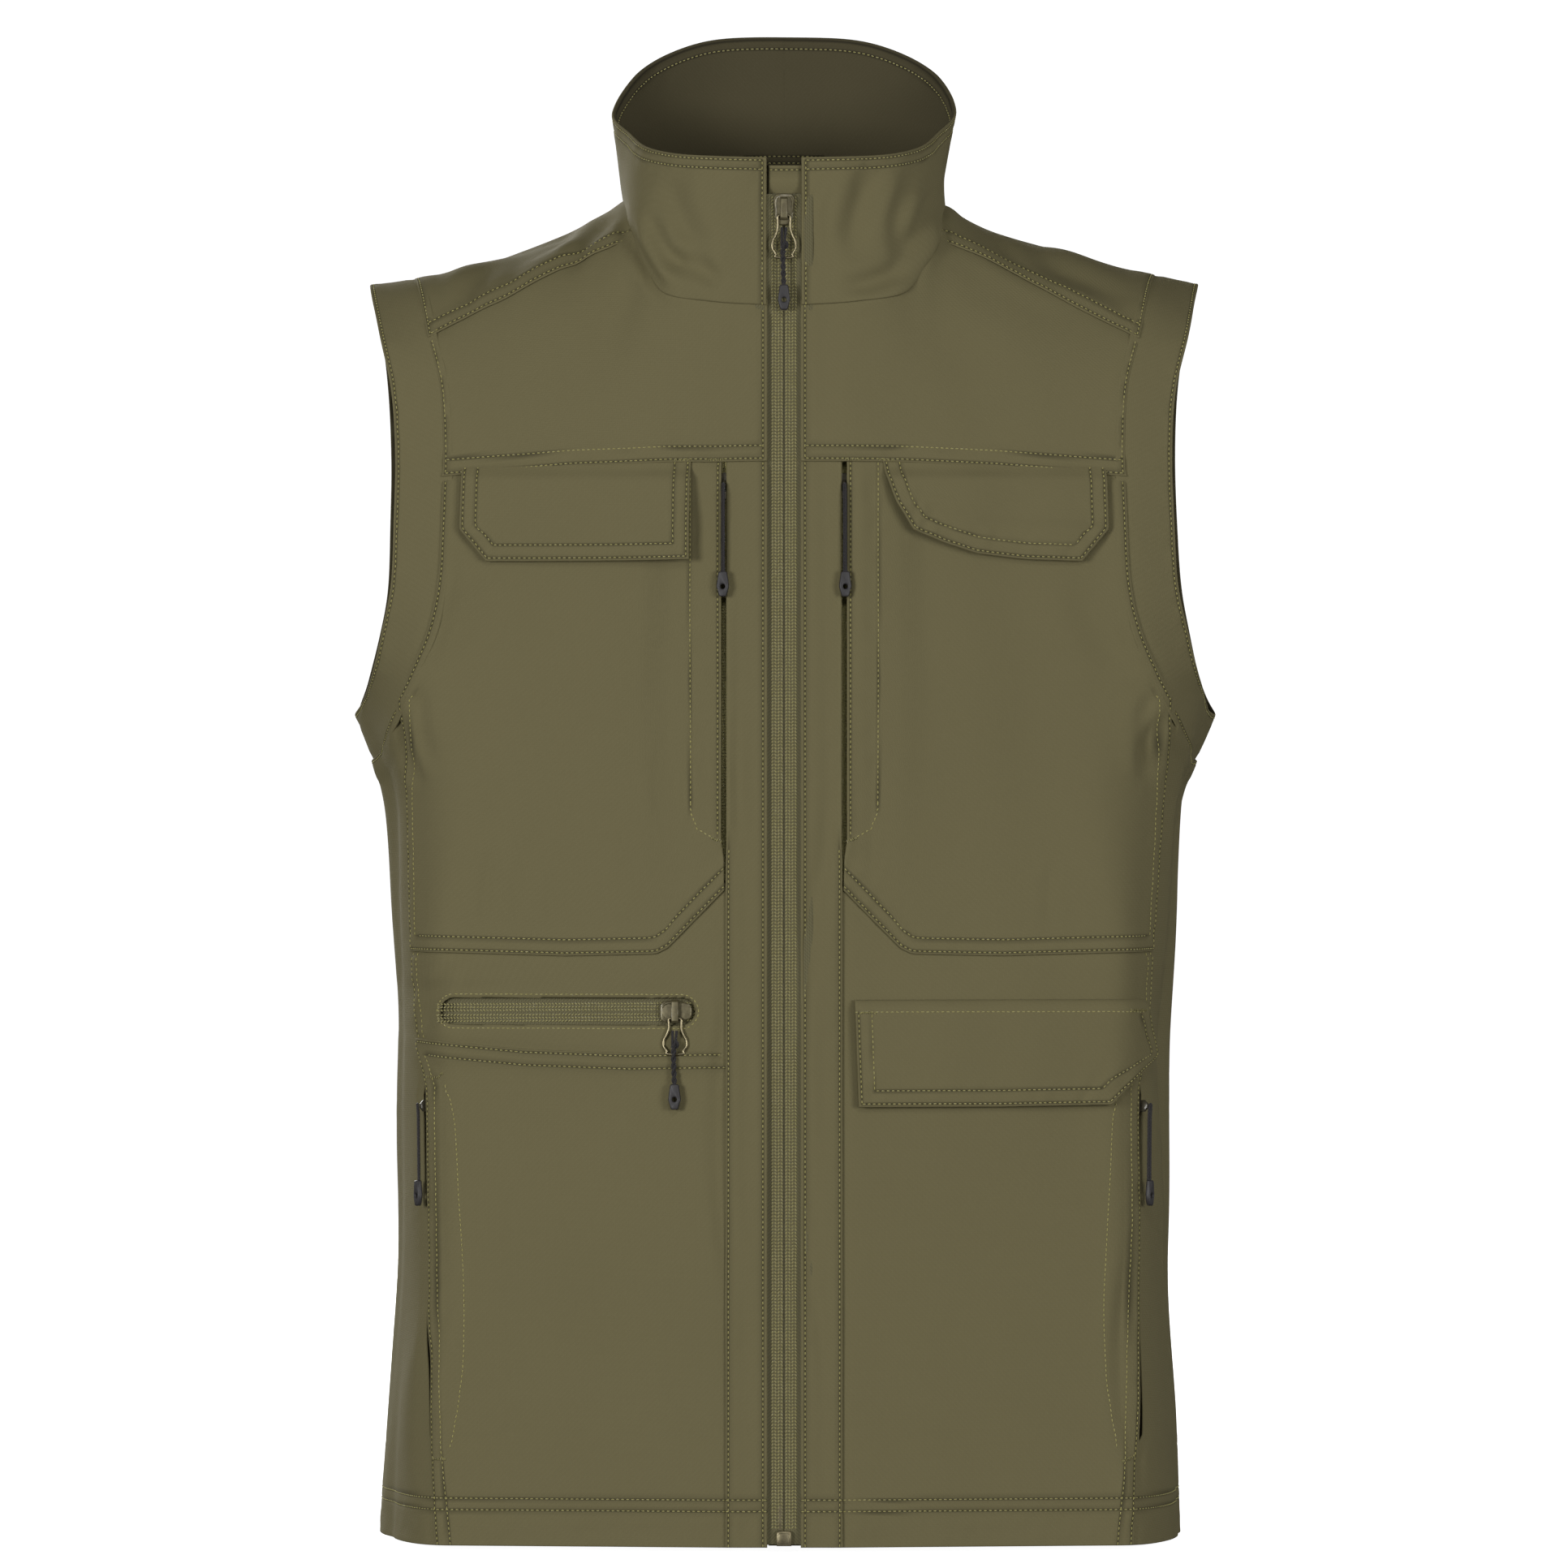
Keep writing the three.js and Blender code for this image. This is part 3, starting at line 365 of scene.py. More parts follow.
def spaced(length, rows_low, rows_high, step=STEP):
    """Parameters 0..1 over that length, close together at both edges and at the rows of stitches."""
    near = lambda rows: [0, 0.15, 0.45, 0.9, *[r + k for r in rows for k in (-0.9, -0.4, 0, 0.4, 0.9)]]
    fine = sorted({*near(rows_low), *(length - d for d in near(rows_high))})
    fine = [d for d in fine if 0 <= d <= length]
    out = [fine[0]]
    for d in fine[1:]:
        gap = d - out[-1]
        if gap < 0.12:
            continue
        pieces = max(1, math.ceil(gap / step))
        out += [out[-1] + gap * k / pieces for k in range(1, pieces + 1)]
    out[-1] = length
    return np.array(out) / length


def blurred(values, reach):
    """A running mean over that many neighbours on each side."""
    wide = 2 * reach + 1
    return np.convolve(np.pad(values, reach, mode="edge"), np.ones(wide) / wide, "valid")


EDGES = ("bottom", "right", "top", "left")


class Panel:
    """A sheet of cloth inside four edges, each with its lap, tuck and rows of stitches.

    edges: {edge: {"over": True or (from, to), "lap": height, "tuck": True or (from, to),
    "rows": [distance or (distance, from, to)]}}
    """

    def __init__(self, place, size, edges=None, depth=0.0, thickness=CLOTH, still=False, lift=None,
                 centre=None, step=STEP, pucker=0.16, closed=False, seamless=()):
        self.seamless = seamless
        self.edges = {e: {"rows": [], "over": False, "tuck": False, "lap": LAP, **(edges or {}).get(e, {})}
                      for e in EDGES}
        for spec in self.edges.values():
            spec["rows"] = [row if isinstance(row, tuple) else (row, 0.0, 1.0) for row in spec["rows"]]
        bare = {e: [row[0] for row in self.edges[e]["rows"]] for e in EDGES}
        lean = self.leans(place)
        for e in EDGES:
            if lean[e].min() < 0.9:
                bare[e] = bare[e] + [r / lean[e].min() for r in bare[e]]
        us = spaced(size[0], bare["left"], bare["right"], step)
        vs = spaced(size[1], bare["bottom"], bare["top"], step)
        self.u, self.v = us, vs
        grid_u, grid_v = np.meshgrid(us, vs)
        base = place(grid_u, grid_v)
        self.base = base
        if closed:
            looped = np.concatenate([base[:, -2:-1], base, base[:, 1:2]], 1)
            across = np.gradient(looped, axis=1)[:, 1:-1]
        else:
            across = np.gradient(base, axis=1)
        up = np.gradient(base, axis=0)
        normal = np.cross(across, up)
        normal /= np.linalg.norm(normal, axis=-1, keepdims=True) + 1e-12
        middle = points(0, MID_Y, np.minimum(base[..., 2], CHEST_Z)) if centre is None else centre(base)
        self.turned = np.mean(np.sum(normal * (base - middle), -1)) < 0
        self.normal = -normal if self.turned else normal
        wide = np.linalg.norm(np.diff(base, axis=1), axis=-1)
        tall = np.linalg.norm(np.diff(base, axis=0), axis=-1)
        zero_c, zero_r = np.zeros((len(vs), 1)), np.zeros((1, len(us)))
        left = np.concatenate([zero_c, np.cumsum(wide, 1)], 1)
        bottom = np.concatenate([zero_r, np.cumsum(tall, 0)], 0)
        self.away = {"left": left, "right": left[:, -1:] - left, "bottom": bottom,
                     "top": bottom[-1:] - bottom}
        run = np.linspace(0, 1, len(lean["left"]))
        for e in EDGES:
            share = np.interp(self.run_of(e), run, lean[e])
            self.away[e] = self.away[e] * share
        self.flat = (float(left[:, -1].max()), float(bottom[-1].max()))
        self.area = float(np.sum((wide[:-1] + wide[1:]) / 2 * (tall[:, :-1] + tall[:, 1:]) / 2))
        stand = np.full(base.shape[:2], float(depth))
        if lift is not None:
            stand = stand + lift(base)
        if not still:
            stand = stand + relief(base)
        edge = np.full(base.shape[:2], 1e3)
        lap, tucked, self.sewn = (np.zeros(base.shape[:2]) for _ in range(3))
        for name in EDGES:
            spec, away = self.edges[name], self.away[name]
            if name not in seamless and not (closed and name in ("left", "right")):
                edge = np.minimum(edge, away)
            run = self.run_of(name)
            if spec["over"]:
                lap = np.maximum(lap, spec["lap"] * smooth(14, 7, away) * self.within(spec["over"], run))
            if spec["tuck"]:
                tucked = np.maximum(tucked, smooth(TUCK + 4, TUCK, away) * self.within(spec["tuck"], run))
            for number, (at, low, high) in enumerate(spec["rows"]):
                here = self.within((low, high), run) * self.short_of_corner(name, number)
                self.sewn = np.maximum(self.sewn, here * np.exp(-((away - at) / 0.7) ** 2))
            if spec["rows"]:
                reach = max(bare[name]) + 3
                gathered = smooth(reach + 6, reach * 0.5, away)
                stand = stand + pucker * gathered * waves(base, 8.5, 21) * smooth(0, 2, away)
        stand = stand + lap * (1 - tucked) - 0.5 * tucked - 0.4 * self.sewn
        round_off = 1 - np.clip(edge / 0.9, 0, 1)
        half = thickness / 2
        swell = half * np.sqrt(np.clip(1 - round_off ** 2, 0, 1))
        mid = stand - half
        self.outer = base + self.normal * (mid + swell)[..., None]
        self.inner = base + self.normal * (mid - swell)[..., None]
        self.keep = None

    def leans(self, place, count=61):
        """How squarely the mesh meets each edge, along it: 1 where they are square."""
        at = np.linspace(0, 1, count)
        u, v = np.meshgrid(at, at)
        base = place(u, v)
        across, up = np.gradient(base, axis=1), np.gradient(base, axis=0)
        square = np.linalg.norm(np.cross(across, up), axis=-1)
        square /= np.linalg.norm(across, axis=-1) * np.linalg.norm(up, axis=-1) + 1e-12
        ends = {"left": square[:, 0], "right": square[:, -1], "bottom": square[0], "top": square[-1]}
        return {e: np.clip(blurred(f, 2), 0.55, 1) for e, f in ends.items()}

    def within(self, spec, run):
        if spec is True:
            return 1.0
        low, high = spec
        start = smooth(low - 0.02, low + 0.02, run) if low > 0 else 1.0
        return start * (smooth(high + 0.02, high - 0.02, run) if high < 1 else 1.0)

    def short_of_corner(self, edge, number):
        """1 where a row runs and 0 past the row that it meets round a corner."""
        runs = np.ones(self.base.shape[:2])
        if self.edges[edge]["rows"][number][0] > HEM_REACH:
            return runs
        for other in ("left", "right") if edge in ("bottom", "top") else ("bottom", "top"):
            rows = self.edges[other]["rows"]
            if not rows or rows[0][0] > HEM_REACH:
                continue
            at, low, high = rows[min(number, len(rows) - 1)]
            here = self.within((low, high), self.run_of(other))
            runs = runs * (1 - here * smooth(at - 0.1, at - 0.5, self.away[other]))
        return runs

    def run_of(self, name):
        """0..1 along an edge, at every point."""
        grid_u, grid_v = np.meshgrid(self.u, self.v)
        return grid_u if name in ("bottom", "top") else grid_v

    def punch(self, gap):
        """Cuts a hole where gap, in millimetres, is negative. The rim is drawn onto its outline."""
        g = gap(self.base)
        step = 0.2
        slide = [(gap(self.base + points(*way)) - g) / step for way in ((step, 0, 0), (0, 0, step))]
        size = slide[0] ** 2 + slide[1] ** 2 + 1e-9
        inside = g < 0
        cells = inside[:-1, :-1] & inside[1:, :-1] & inside[:-1, 1:] & inside[1:, 1:]
        self.keep = ~cells
        move = np.where(inside, -g, 0)
        shift = points(move * slide[0] / size, 0, move * slide[1] / size)
        near = np.clip(1 - np.clip(g, 0, 0.9) / 0.9, 0, 1) * (g < 0.9)
        centre = (self.outer + self.inner) / 2
        swell = np.sqrt(np.clip(1 - near ** 2, 0, 1))[..., None]
        self.outer = centre + (self.outer - centre) * swell + shift
        self.inner = centre + (self.inner - centre) * swell + shift

    def build(self, name, outside, inside=None):
        rows, columns = self.outer.shape[:2]
        index = np.arange(rows * columns).reshape(rows, columns)
        quads = np.stack([index[:-1, :-1], index[:-1, 1:], index[1:, 1:], index[1:, :-1]], -1)
        kept = quads[self.keep] if self.keep is not None else quads.reshape(-1, 4)
        faces = kept[:, ::-1] if self.turned else kept
        count = rows * columns
        skins = [faces, faces[:, ::-1] + count]
        for name_of_edge, line in (("left", index[:, 0]), ("right", index[::-1, -1])):
            if name_of_edge in self.seamless:
                rim = np.stack([line[:-1], line[:-1] + count, line[1:] + count, line[1:]], -1)
                skins.insert(0, rim[:, ::-1] if self.turned else rim)
        everything = np.concatenate(skins)
        vertices = np.concatenate([self.outer.reshape(-1, 3), self.inner.reshape(-1, 3)])
        # The outer and inner skins meet at the rim, so their rim points are one.
        key = np.round(vertices, 4)
        _, first, where = np.unique(key, axis=0, return_index=True, return_inverse=True)
        where = where.reshape(-1)
        used = np.unique(where[everything])
        renumber = np.full(len(first), -1)
        renumber[used] = np.arange(len(used))
        everything = renumber[where[everything]]
        piece = make_mesh(name, vertices[first[used]], everything, outside, inner=inside,
                          inner_faces=len(kept) if inside else 0)
        # seam marks nearness to sewn and lapped edges, where the cloth material paints a highlight along with
        # rubbed wear.
        edged = [e for e in EDGES if self.edges[e]["rows"] or self.edges[e]["over"]]
        near = [np.exp(-(self.away[e] / 1.6) ** 2) for e in edged]
        seam = np.max(near, 0) if near else np.zeros(self.outer.shape[:2])
        cut = points(self.away["left"], self.away["bottom"], 0) * MM
        # row marks the rows of stitches, where the cloth material paints shade.
        for attribute, kind, field, values in (("cloth", "FLOAT_VECTOR", "vector", cut),
                                               ("seam", "FLOAT", "value", seam),
                                               ("row", "FLOAT", "value", self.sewn)):
            values = values.reshape(count, -1)
            values = np.concatenate([values, values])[first[used]]
            piece.data.attributes.new(attribute, kind, "POINT").data.foreach_set(field, values.ravel())
        return piece

    def row(self, edge, at, low=0.0, high=1.0, number=None):
        """A line on the cloth at that distance from an edge: points and outward directions."""
        away, run = self.away[edge], self.run_of(edge)
        runs = np.ones(away.shape) if number is None else self.short_of_corner(edge, number)
        lines, normals = [], []
        flip = edge in ("left", "right")
        outer, normal = self.outer, self.normal
        if flip:
            outer, normal = outer.transpose(1, 0, 2), normal.transpose(1, 0, 2)
            away, run, runs = away.T, run.T, runs.T
        for i in range(outer.shape[1]):
            if not low <= run[0, i] <= high:
                continue
            d = away[:, i]
            order = np.argsort(d)
            if d[order[-1]] < at or np.interp(at, d[order], runs[order, i]) < 0.5:
                continue
            lines.append([np.interp(at, d[order], outer[order, i, k]) for k in range(3)])
            normals.append([np.interp(at, d[order], normal[order, i, k]) for k in range(3)])
        return np.array(lines), np.array(normals)

    def trace(self, path):
        """A line on the cloth through (x, height) points on the front, found by the nearest grid point."""
        fine = along(path)(np.linspace(0, 1, max(8, int(len(path) * 24))))
        flat = self.base.reshape(-1, 3)
        lines, normals = [], []
        for x, z in fine:
            d = (flat[:, 0] - x) ** 2 + (flat[:, 2] - z) ** 2
            near = np.argsort(d)[:4]
            weight = 1 / (d[near] + 0.05)
            weight /= weight.sum()
            lines.append(weight @ self.outer.reshape(-1, 3)[near])
            normals.append(weight @ self.normal.reshape(-1, 3)[near])
        even = lambda f: np.stack([blurred(column, 3) for column in np.transpose(f)], -1)
        return even(lines), even(normals)


# ---- materials ----
class Shader:
    """A Principled material with a few short ways to add nodes."""

    def __init__(self, name, roughness, metallic=0.0, **sockets):
        self.material = bpy.data.materials.new(name)
        self.material.use_nodes = True
        self.nodes, self.links = self.material.node_tree.nodes, self.material.node_tree.links
        self.bsdf = self.nodes["Principled BSDF"]
        self.set(Roughness=roughness, Metallic=metallic, **sockets)

    def set(self, **sockets):
        for socket, value in sockets.items():
            self.bsdf.inputs[socket.replace("_", " ")].default_value = value

    def node(self, kind, inputs=None, **settings):
        made = self.nodes.new("ShaderNode" + kind)
        for key, value in settings.items():
            setattr(made, key, value)
        self.feed(made, inputs or {})
        return made

    def feed(self, made, inputs):
        """Links sockets into a node's inputs and sets the plain values."""
        for key, value in inputs.items():
            if isinstance(value, bpy.types.NodeSocket):
                self.links.new(value, made.inputs[key])
            else:
                made.inputs[key].default_value = value

    def where(self, cloth=False):
        """Position in metres, or the way the cloth was cut."""
        if cloth:
            return self.node("Attribute", attribute_name="cloth").outputs["Vector"]
        return self.node("TexCoord").outputs["Object"]

    def noise(self, where, scale, detail=3.0, rough=0.55):
        made = self.node("TexNoise", {"Vector": where, "Scale": scale, "Detail": detail, "Roughness": rough})
        return made.outputs["Fac"]

    def threads(self, where, direction, period, distortion=0.0):
        """Threads side by side along an axis, one to each period in metres."""
        scale = 2 * math.pi / 20 / period
        made = self.node("TexWave", {"Vector": where, "Scale": scale, "Distortion": distortion,
                                     "Detail": 1.0, "Detail Scale": 2.0},
                         wave_type="BANDS", bands_direction=direction, wave_profile="SIN")
        return made.outputs["Fac"]

    def math(self, operation, a, b=0.0):
        return self.node("Math", {0: a, 1: b}, operation=operation).outputs[0]

    def ranged(self, value, low, high):
        return self.node("MapRange", {"Value": value, "To Min": low, "To Max": high}).outputs["Result"]

    def mix(self, share, a, b, blend="MIX"):
        made = self.node("Mix", {"Factor": share}, data_type="RGBA", blend_type=blend)
        self.feed(made, {6: a, 7: b})
        return made.outputs[2]

    def bump(self, height, distance, strength=1.0, under=None):
        inputs = {"Height": height, "Distance": distance, "Strength": strength}
        if under:
            inputs["Normal"] = under
        return self.node("Bump", inputs).outputs["Normal"]

    def finish(self, colour=None, roughness=None, normal=None):
        for socket, value in (("Base Color", colour), ("Roughness", roughness), ("Normal", normal)):
            if value is not None:
                self.links.new(value, self.bsdf.inputs[socket])
        return self.material


def linear(red, green, blue):
    def one(c):
        c /= 255
        return c / 12.92 if c <= 0.04045 else ((c + 0.055) / 1.055) ** 2.4
    return (one(red), one(green), one(blue), 1)


def scaled(colour, share):
    return (*(c * share for c in colour[:3]), 1)


def woven(name, colour, period, sheen, depth, mottle=0.05):
    """A close weave: warp and weft, uneven yarns, soft cloudiness, rubbed wear with a painted highlight near
    sewn edges, and painted shade along rows of stitches.
    """
    s = Shader(name, 0.8, Sheen_Weight=sheen, Sheen_Roughness=0.45, Specular_IOR_Level=0.3)
    s.set(Sheen_Tint=scaled(colour, 3.2))
    cloth, place = s.where(cloth=True), s.where()
    warp, weft = s.threads(cloth, "X", period, 0.6), s.threads(cloth, "Y", period, 0.6)
    over = s.math("MULTIPLY", s.threads(cloth, "DIAGONAL", period * 1.9), 0.5)
    weave = s.math("ADD", s.math("MAXIMUM", s.math("MULTIPLY", warp, 0.9), weft), over)
    yarn = s.noise(s.node("Mapping", {"Vector": cloth, "Scale": (1500, 110, 1)}).outputs[0], 1.0, 2.0)
    cloud = s.noise(place, 9.0, 4.0, 0.6)
    grain = s.noise(place, 1300.0, 2.0)
    tint = s.mix(s.ranged(cloud, 0.0, 1.0), scaled(colour, 1 - mottle), scaled(colour, 1 + mottle))
    tint = s.mix(s.ranged(weave, 0.0, 0.5), tint, scaled(colour, 0.86))
    tint = s.mix(s.ranged(yarn, 0.0, 0.16), tint, scaled(colour, 1.3))
    tint = s.mix(s.ranged(grain, 0.0, 0.2), tint, scaled(colour, 0.8))
    # Rubbed wear and painted highlight: the cloth is lightened towards 1.22 of its colour in patches near
    # sewn and lapped edges.
    edge = s.node("Attribute", attribute_name="seam").outputs["Fac"]
    rubbed_and_highlight = s.math("MULTIPLY", edge, s.ranged(s.noise(place, 160.0, 3.0), 0.0, 0.2))
    tint = s.mix(rubbed_and_highlight, tint, scaled(colour, 1.22))
    # Painted shade: along each row of stitches the cloth is darkened towards 0.3 of its colour, for the shade
    # in the stitch groove and holes.
    row = s.node("Attribute", attribute_name="row").outputs["Fac"]
    tint = s.mix(s.math("MULTIPLY", row, 0.95), tint, scaled(colour, 0.3))
    rough = s.ranged(s.math("ADD", grain, s.math("MULTIPLY", weave, 0.4)), 0.68, 0.92)
    normal = s.bump(s.noise(place, 75.0, 3.0, 0.5), 0.0004, 0.5)
    normal = s.bump(weave, depth, 0.55, normal)
    return s.finish(tint, rough, s.bump(grain, 0.00005, 0.5, normal))


def zip_tape(name, colour):
    """Knitted tape: fine ribs along it with a short cross stitch."""
    s = Shader(name, 0.75, Sheen_Weight=0.2, Sheen_Roughness=0.5)
    cloth = s.where(cloth=True)
    ribs, cross = s.threads(cloth, "X", 0.0011, 0.3), s.threads(cloth, "DIAGONAL", 0.0009, 0.5)
    knit = s.math("MULTIPLY", s.math("ADD", ribs, cross), 0.5)
    tint = s.mix(s.ranged(knit, 0.0, 0.85), scaled(colour, 0.62), scaled(colour, 1.12))
    tint = s.mix(s.ranged(s.noise(s.where(), 700.0), 0, 0.3), tint, scaled(colour, 0.7))
    return s.finish(tint, s.ranged(knit, 0.9, 0.65), s.bump(knit, 0.00022, 0.8))


def yarn(name, colour, period, gloss):
    """Sewing thread or braided cord: strands that wind round it."""
    s = Shader(name, gloss, Sheen_Weight=0.3, Sheen_Roughness=0.4)
    place = s.where()
    strands = s.math("MAXIMUM", s.threads(place, "DIAGONAL", period, 1.0), s.threads(place, "Z", period, 1.0))
    tint = s.mix(s.ranged(strands, 0.0, 0.8), scaled(colour, 0.6), scaled(colour, 1.25))
    fuzz = s.noise(place, 2500.0, 2.0)
    tint = s.mix(s.ranged(fuzz, 0.0, 0.25), tint, scaled(colour, 1.5))
    return s.finish(tint, s.ranged(fuzz, gloss - 0.08, gloss + 0.12), s.bump(strands, period * 0.25, 0.7))


def metal(name, colour, roughness, bare, cover):
    """Plated or painted metal, rubbed to a paler metal in places, with fine scratches."""
    s = Shader(name, roughness, metallic=1.0 - 0.5 * cover, Coat_Weight=0.25 * cover)
    place = s.where()
    worn = s.ranged(s.noise(place, 420.0, 5.0, 0.7), -0.9, 1.6)
    scratch = s.noise(s.node("Mapping", {"Vector": place, "Scale": (6000, 400, 900)}).outputs[0], 1.0, 2.0)
    tint = s.mix(worn, scaled(colour, 0.9), bare)
    tint = s.mix(s.ranged(scratch, 0.0, 0.3), tint, scaled(colour, 1.4))
    rough = s.ranged(scratch, roughness - 0.1, roughness + 0.18)
    return s.finish(tint, rough, s.bump(s.math("ADD", scratch, worn), 0.00003, 0.5))


def moulded(name, colour):
    s = Shader(name, 0.5, Specular_IOR_Level=0.5)
    place = s.where()
    grain, cloud = s.noise(place, 1800.0, 2.0), s.noise(place, 260.0, 3.0)
    tint = s.mix(s.ranged(cloud, 0.0, 1.0), scaled(colour, 0.85), scaled(colour, 1.35))
    return s.finish(tint, s.ranged(grain, 0.38, 0.62), s.bump(grain, 0.00006, 0.6))


OLIVE = linear(115, 108, 76)
FABRIC = woven("shell cloth", OLIVE, 0.00075, 0.12, 0.00012)
# The lining is darker than the shell, partly as the real lining and partly as painted shade for the inside of
# the collar, which also takes this material.
LINING_DARKENED_AS_SHADE = woven("lining cloth darkened as shade", linear(80, 74, 52), 0.0006, 0.08, 0.00008)
TAPE = zip_tape("zip tape", linear(107, 101, 67))
COIL = yarn("zip coil", linear(158, 150, 96), 0.0008, 0.6)
THREAD_LOOK = yarn("sewing thread", linear(172, 164, 98), 0.0005, 0.62)
TACK_LOOK = yarn("bar tack thread", linear(134, 127, 80), 0.0005, 0.62)
PAINTED = metal("painted zip metal", linear(96, 89, 65), 0.42, linear(132, 124, 94), 1.0)
NICKEL = metal("nickel wire", linear(134, 125, 98), 0.34, linear(172, 162, 132), 0.0)
# The hidden sliders' metal is dark partly as paint and partly as painted shade for the slit that they sit in.
DARK_METAL_AS_SLIT_SHADE = metal("dark zip metal as slit shade", linear(60, 56, 44), 0.5, linear(96, 90, 70), 1.0)
CORD = yarn("braided cord", linear(38, 35, 36), 0.0009, 0.7)
RUBBER = moulded("moulded cord end", linear(48, 46, 47))


# ---- sewing ----
def ring_faces(rings, sides):
    """The faces between rings of points that follow one another."""
    at = lambda k, i: k * sides + i % sides
    return [(at(k, i), at(k, i + 1), at(k + 1, i + 1), at(k + 1, i))
            for k in range(rings - 1) for i in range(sides)]


# Rings of a stitch: place along it, thickness and height, as shares
RINGS = np.array([(-0.5, 0.35, -0.26), (-0.34, 0.9, 0.0), (0.0, 1.0, 0.12), (0.34, 0.9, 0.0),
                  (0.5, 0.35, -0.26)])
THREAD_SIDES = 4


def resampled(line, pitch):
    """Points a pitch apart along a line, with the values there and the direction."""
    p, n = line
    length = measured(p)
    count = int(length[-1] / pitch)
    if count < 1:
        return None
    at = (np.arange(count) + 0.5) * length[-1] / count
    way = picked(at + pitch * 0.3, length, p) - picked(at - pitch * 0.3, length, p)
    way /= np.linalg.norm(way, axis=1, keepdims=True) + 1e-12
    return picked(at, length, p), picked(at, length, n), way


def stitched(name, lines, pitch=STITCH_PITCH, length=STITCH, radius=THREAD, material=None, slant=0.0):
    """Short loops of thread along lines of (points, outward directions)."""
    angle = np.arange(THREAD_SIDES) * 2 * math.pi / THREAD_SIDES
    t, r, h = (RINGS[:, k, None] for k in range(3))
    template = np.stack([t * length + 0 * angle, np.cos(angle) * r * radius,
                         np.sin(angle) * r * radius + h * radius * 2.2 + radius * 0.3], -1).reshape(-1, 3)
    count, sides = len(template), THREAD_SIDES
    walls = ring_faces(len(RINGS), sides)
    caps = [tuple(reversed(range(sides))), tuple(range(count - sides, count))]
    pattern = np.array(walls + caps)
    vertices = []
    for line in lines:
        found = resampled(line, pitch) if len(line[0]) > 1 else None
        if found is None:
            continue
        middle, out, way = found
        out = out - way * np.sum(out * way, 1, keepdims=True)
        out /= np.linalg.norm(out, axis=1, keepdims=True)
        across = np.cross(way, out)
        turned = way * math.cos(slant) + across * math.sin(slant)
        across = across * math.cos(slant) - way * math.sin(slant)
        axes = np.stack([turned, across, out], 1)
        vertices.append((middle[:, None] + template @ axes).reshape(-1, 3))
    vertices = np.concatenate(vertices)
    loops = np.arange(len(vertices) // count)[:, None, None] * count + pattern
    return make_mesh(name, vertices, loops.reshape(-1, 4), material or THREAD_LOOK)


def bar_tack(panel, a, b):
    """A short dense bar between two points of a panel, as rows of stitches across it."""
    line, out = panel.trace([a, b])
    run, knots = np.linspace(0, 1, 12), np.linspace(0, 1, len(line))
    p, n = picked(run, knots, line), picked(run, knots, out)
    way = p[-1] - p[0]
    way /= np.linalg.norm(way)
    across = np.cross(way, n[0]) * 0.75
    return [(np.array([q - across, q + across]) + m * 0.12, np.array([m, m])) for q, m in zip(p, n)]


SEWN = {}  # {body or side: lines of stitches}
TACKS = {}


def sew_curve(panel, side, curve):
    SEWN[side].append(panel.trace([(side * x, z) for x, z in curve]))


def tack(panel, side, *bars):
    """Bar tacks from (x, height) to (x, height)."""
    for x0, z0, x1, z1 in bars:
        TACKS.setdefault(side, []).extend(bar_tack(panel, (side * x0, z0), (side * x1, z1)))


def sew(panel, key):
    """Every row of stitches a panel has."""
    for edge in EDGES:
        for number, (at, low, high) in enumerate(panel.edges[edge]["rows"]):
            SEWN.setdefault(key, []).append(panel.row(edge, at, low, high, number))


def cloth_piece(name, panel, nodes, key, outside=None, inside=None):
    piece = panel.build(name, outside or FABRIC, inside or LINING_DARKENED_AS_SHADE)
    hang(piece, key)
    if nodes:
        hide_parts(*nodes)
    width, length = (max(0.01, s * MM) for s in panel.flat)
    sew(panel, key)
    return piece


def place_on(surface, side, bottom, right, top, left):
    """A place function for a panel inside four edges, drawn on a surface for the wearer's left."""
    inside = patch(bottom, right, top, left)

    def place(u, v):
        p = inside(u, v)
        return surface(p[..., 0], p[..., 1]) * np.array([side, 1, 1])

    return place


TUCKED = {"tuck": True}
HEMMED = {"rows": list(HEM_ROWS)}
DOUBLE = {"over": True, "rows": [TOPSTITCH, TWIN]}
AT_ZIP = {"over": True, "rows": [2.3]}
AT_ARMHOLE = {"over": True, "rows": [1.5], "lap": FLUSH}
AT_HAND_POCKET = {"over": True, "rows": [1.7, 8.4]}


# ---- panels of the shell ----
def band_curve(ridge, front, under, back):
    """The closed curve round an armhole, as a fine polyline from the shoulder down the front."""
    p = np.concatenate([on_shoulder(np.array([ridge]), np.array([0.0])),
                        on_front(*np.array(front, float).T), [under], on_back(*np.array(back, float).T)])
    out = spline(p, 12, closed=True)
    return np.array(out + [out[0]])


def on_body(curve):
    """The nearest points of the body form to a curve round an armhole."""
    rolls = np.linspace(-1.45, 1.45, 581)
    out = []
    for p in curve:
        x, z = min(p[0], float(through(HALF_WIDTH, p[2]))), p[2]
        found = on_front(x, z) if p[1] < MID_Y else on_back(x, z)
        if z > 590:
            ring = on_shoulder(np.full(rolls.shape, p[0]), rolls)
            found = ring[np.argmin(np.linalg.norm(ring - p, axis=1))]
        out.append(found)
    return np.array(out)


